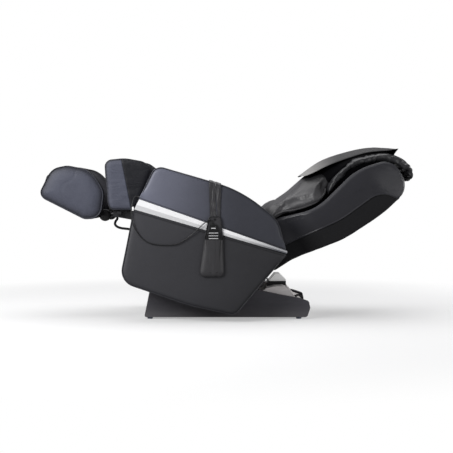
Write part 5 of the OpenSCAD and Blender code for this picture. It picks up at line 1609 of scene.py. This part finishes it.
CALF = [(-160, 36, 26), (-48, 36, 20), (-20, 74, 70), (44, 236, 22), (-2, 270, 60), (-90, 286, 200),
        (-188, 276, 34), (-174, 70, 90)]
FOOT = [(-513, 105, 38), (-290, -8, 48), (-208, -4, 60), (-191, 126, 90), (-254, 228, 120), (-372, 251, 84),
        (-446, 236, 74)]
FOOT_PIN, HUB_RADIUS, SHAFT_RADIUS = (-195.0, 9.0), 29.0, 7.0
CALF_DIVIDER = [(-150, 58.4, 8), (-20, 58.4, 8), (10, 200, 30), (-40, 232, 40), (-130, 236, 40),
                (-160, 200, 30)]
FOOT_DIVIDER = [(-440, 98.6, 36), (-300, 30.6, 40), (-240, 27.6, 20), (-250, 150, 40), (-330, 200, 60),
                (-440, 196, 20)]
SOLE_FLOOR = [(-486, 90, 12), (-300, -6, 30), (-226, -6, 14), (-226, 26, 8), (-300, 30, 40), (-446, 101, 12)]
SOLE_END = [(-508, 118, 12), (-478, 84, 14), (-440, 98, 10), (-452, 214, 12), (-478, 206, 14)]
PAN = [(-156, 29, 6), (-22, 29, 6), (-10, 58, 10), (-166, 58, 10)]


class ChairLegs(ChairOperator, bpy.types.Operator):
    """Padded walls, dividers and linings of the calf and foot wells"""
    bl_idname = "chair.legs"
    bl_label = "Leg unit"

    def execute(self, context):
        s = context.scene.chair_sizes
        edge, piping = s.leg_edge / MM, s.piping / MM
        for side, sign in SIDES:
            calf = add_slab("calf_panel_" + side, CALF, sign * LEG_INNER, sign * LEG_OUTER, 10, (-85, 150),
                            in_leg, edge * 0.5, 30, samples=320, face_rings=26)
            foot = add_slab("foot_panel_" + side, FOOT, sign * LEG_INNER, sign * LEG_OUTER, 12, (-350, 115),
                            in_leg, edge, 75, samples=320, face_rings=30)
            rumple(calf, (1.0, (60, 60, 30), 61), (0.5, (70, 70, 16), 63), -0.5)
            rumple(foot, (1.0, 80, 65), (0.6, 70, 67), -0.4)
            finished(calf, "calf", "leg_panel", ["calf_wall_" + side], "calf_panel")
            finished(foot, "foot", "leg_panel", ["foot_wall_" + side], "foot_panel")
            for body, corners, depth in (("foot", FOOT, 34.0), ("calf", CALF, 16.0)):
                line = even(corner_outline(corners, 17), 300)
                loop = placed(xyz(line[:, 0], sign * (LEG_OUTER - depth), line[:, 1]), in_leg)
                loop = add_ring_tube("%s_piping_%s" % (body, side), loop, piping)
                finished(loop, body, "leg_panel", finish="piping")
        dividers = [("calf", CALF_DIVIDER, 14, (-70, 150)), ("foot", FOOT_DIVIDER, 12, (-330, 120))]
        for body, corners, round_edge, centre in dividers:
            pad = add_slab(body + "_divider_pad", corners, -DIVIDER_HALF, DIVIDER_HALF, round_edge, centre,
                           in_leg, 3, 14, samples=200, face_rings=10)
            rumple(pad, (0.8, 50, 71), (0.7, 50, 73), -0.4)
            finished(pad, body, "leg_lining", [body + "_divider"])
        self.lining("calf_lining", PAN, (-88, 44), "calf", ["calf_pan"])
        self.lining("foot_lining", SOLE_FLOOR, (-310, 18), "foot", ["foot_sole"])
        self.lining("foot_end_lining", SOLE_END, (-472, 140), "foot", [])
        for side, sign in SIDES:
            hub = xyz(FOOT_PIN[0], sign * np.array([125.7, 127, 130, 146, 149, 150.3]), FOOT_PIN[1])
            taper = np.array([0.94, 0.98, 1, 1, 0.98, 0.94])
            disc = add_tube("foot_hub_" + side, placed(hub, in_leg), HUB_RADIUS, 48, taper)
            finished(disc, "foot", "black_plastic")
        shaft = placed(xyz(FOOT_PIN[0], np.array([-126.0, 0, 126]), FOOT_PIN[1]), in_leg)
        finished(add_tube("foot_shaft", shaft, SHAFT_RADIUS, 24), "foot", "steel")
        return {"FINISHED"}

    def lining(self, name, corners, centre, body, nodes):
        """The padded floor between the walls."""
        half = LEG_INNER - 0.6
        obj = add_slab(name, corners, -half, half, 5, centre, in_leg, samples=200, face_rings=8)
        rumple(obj, (0.6, 60, 75), (0.5, 60, 77), -0.6)
        finished(obj, body, "leg_lining", nodes)


# ---------------------------------------------------------------- metal, plastic and the rest


class ChairFinishes(ChairOperator, bpy.types.Operator):
    """Materials of the frame's own pieces, by the slots of the record"""
    bl_idname = "chair.finishes"
    bl_label = "Finishes"

    def execute(self, context):
        slots = {p["node"]: p["material_slot"] for p in frame["record"]["subparts"]}
        for name, obj in frame["nodes"].items():
            obj.data.materials.clear()
            obj.data.materials.append(FINISHES[slots[name]])
        return {"FINISHED"}


class ChairPanel(bpy.types.Panel):
    """The chair's sizes, colours and builders"""
    bl_idname = "VIEW3D_PT_massage_chair"
    bl_label = "Massage Chair"
    bl_space_type = "VIEW_3D"
    bl_region_type = "UI"
    bl_category = "Massage Chair"

    def draw(self, context):
        column = self.layout.column()
        for group in (context.scene.chair_sizes, context.scene.chair_colours):
            for name in group.__annotations__:
                column.prop(group, name)
        for operator in OPERATORS:
            column.operator(operator.bl_idname)


OPERATORS = [ChairStage, ChairCords, ChairFinishes, ChairBase, ChairArms, ChairStrap, ChairPouch, ChairSeat,
             ChairBack, ChairLegs]
CLASSES = [ChairSizes, ChairColours, *OPERATORS, ChairPanel]


def register():
    """Adds the classes and the scene's two groups of properties."""
    for cls in CLASSES:
        bpy.utils.register_class(cls)
    bpy.types.Scene.chair_sizes = PointerProperty(type=ChairSizes)
    bpy.types.Scene.chair_colours = PointerProperty(type=ChairColours)


def unregister():
    """Takes them away again."""
    del bpy.types.Scene.chair_colours
    del bpy.types.Scene.chair_sizes
    for cls in reversed(CLASSES):
        bpy.utils.unregister_class(cls)


def main():
    """Builds the whole chair through its operators."""
    register()
    scene = bpy.context.scene
    make_finishes(scene.chair_colours, scene.chair_sizes)
    for operator in OPERATORS:
        group, name = operator.bl_idname.split(".")
        getattr(getattr(bpy.ops, group), name)()


if __name__ == "__main__":
    main()
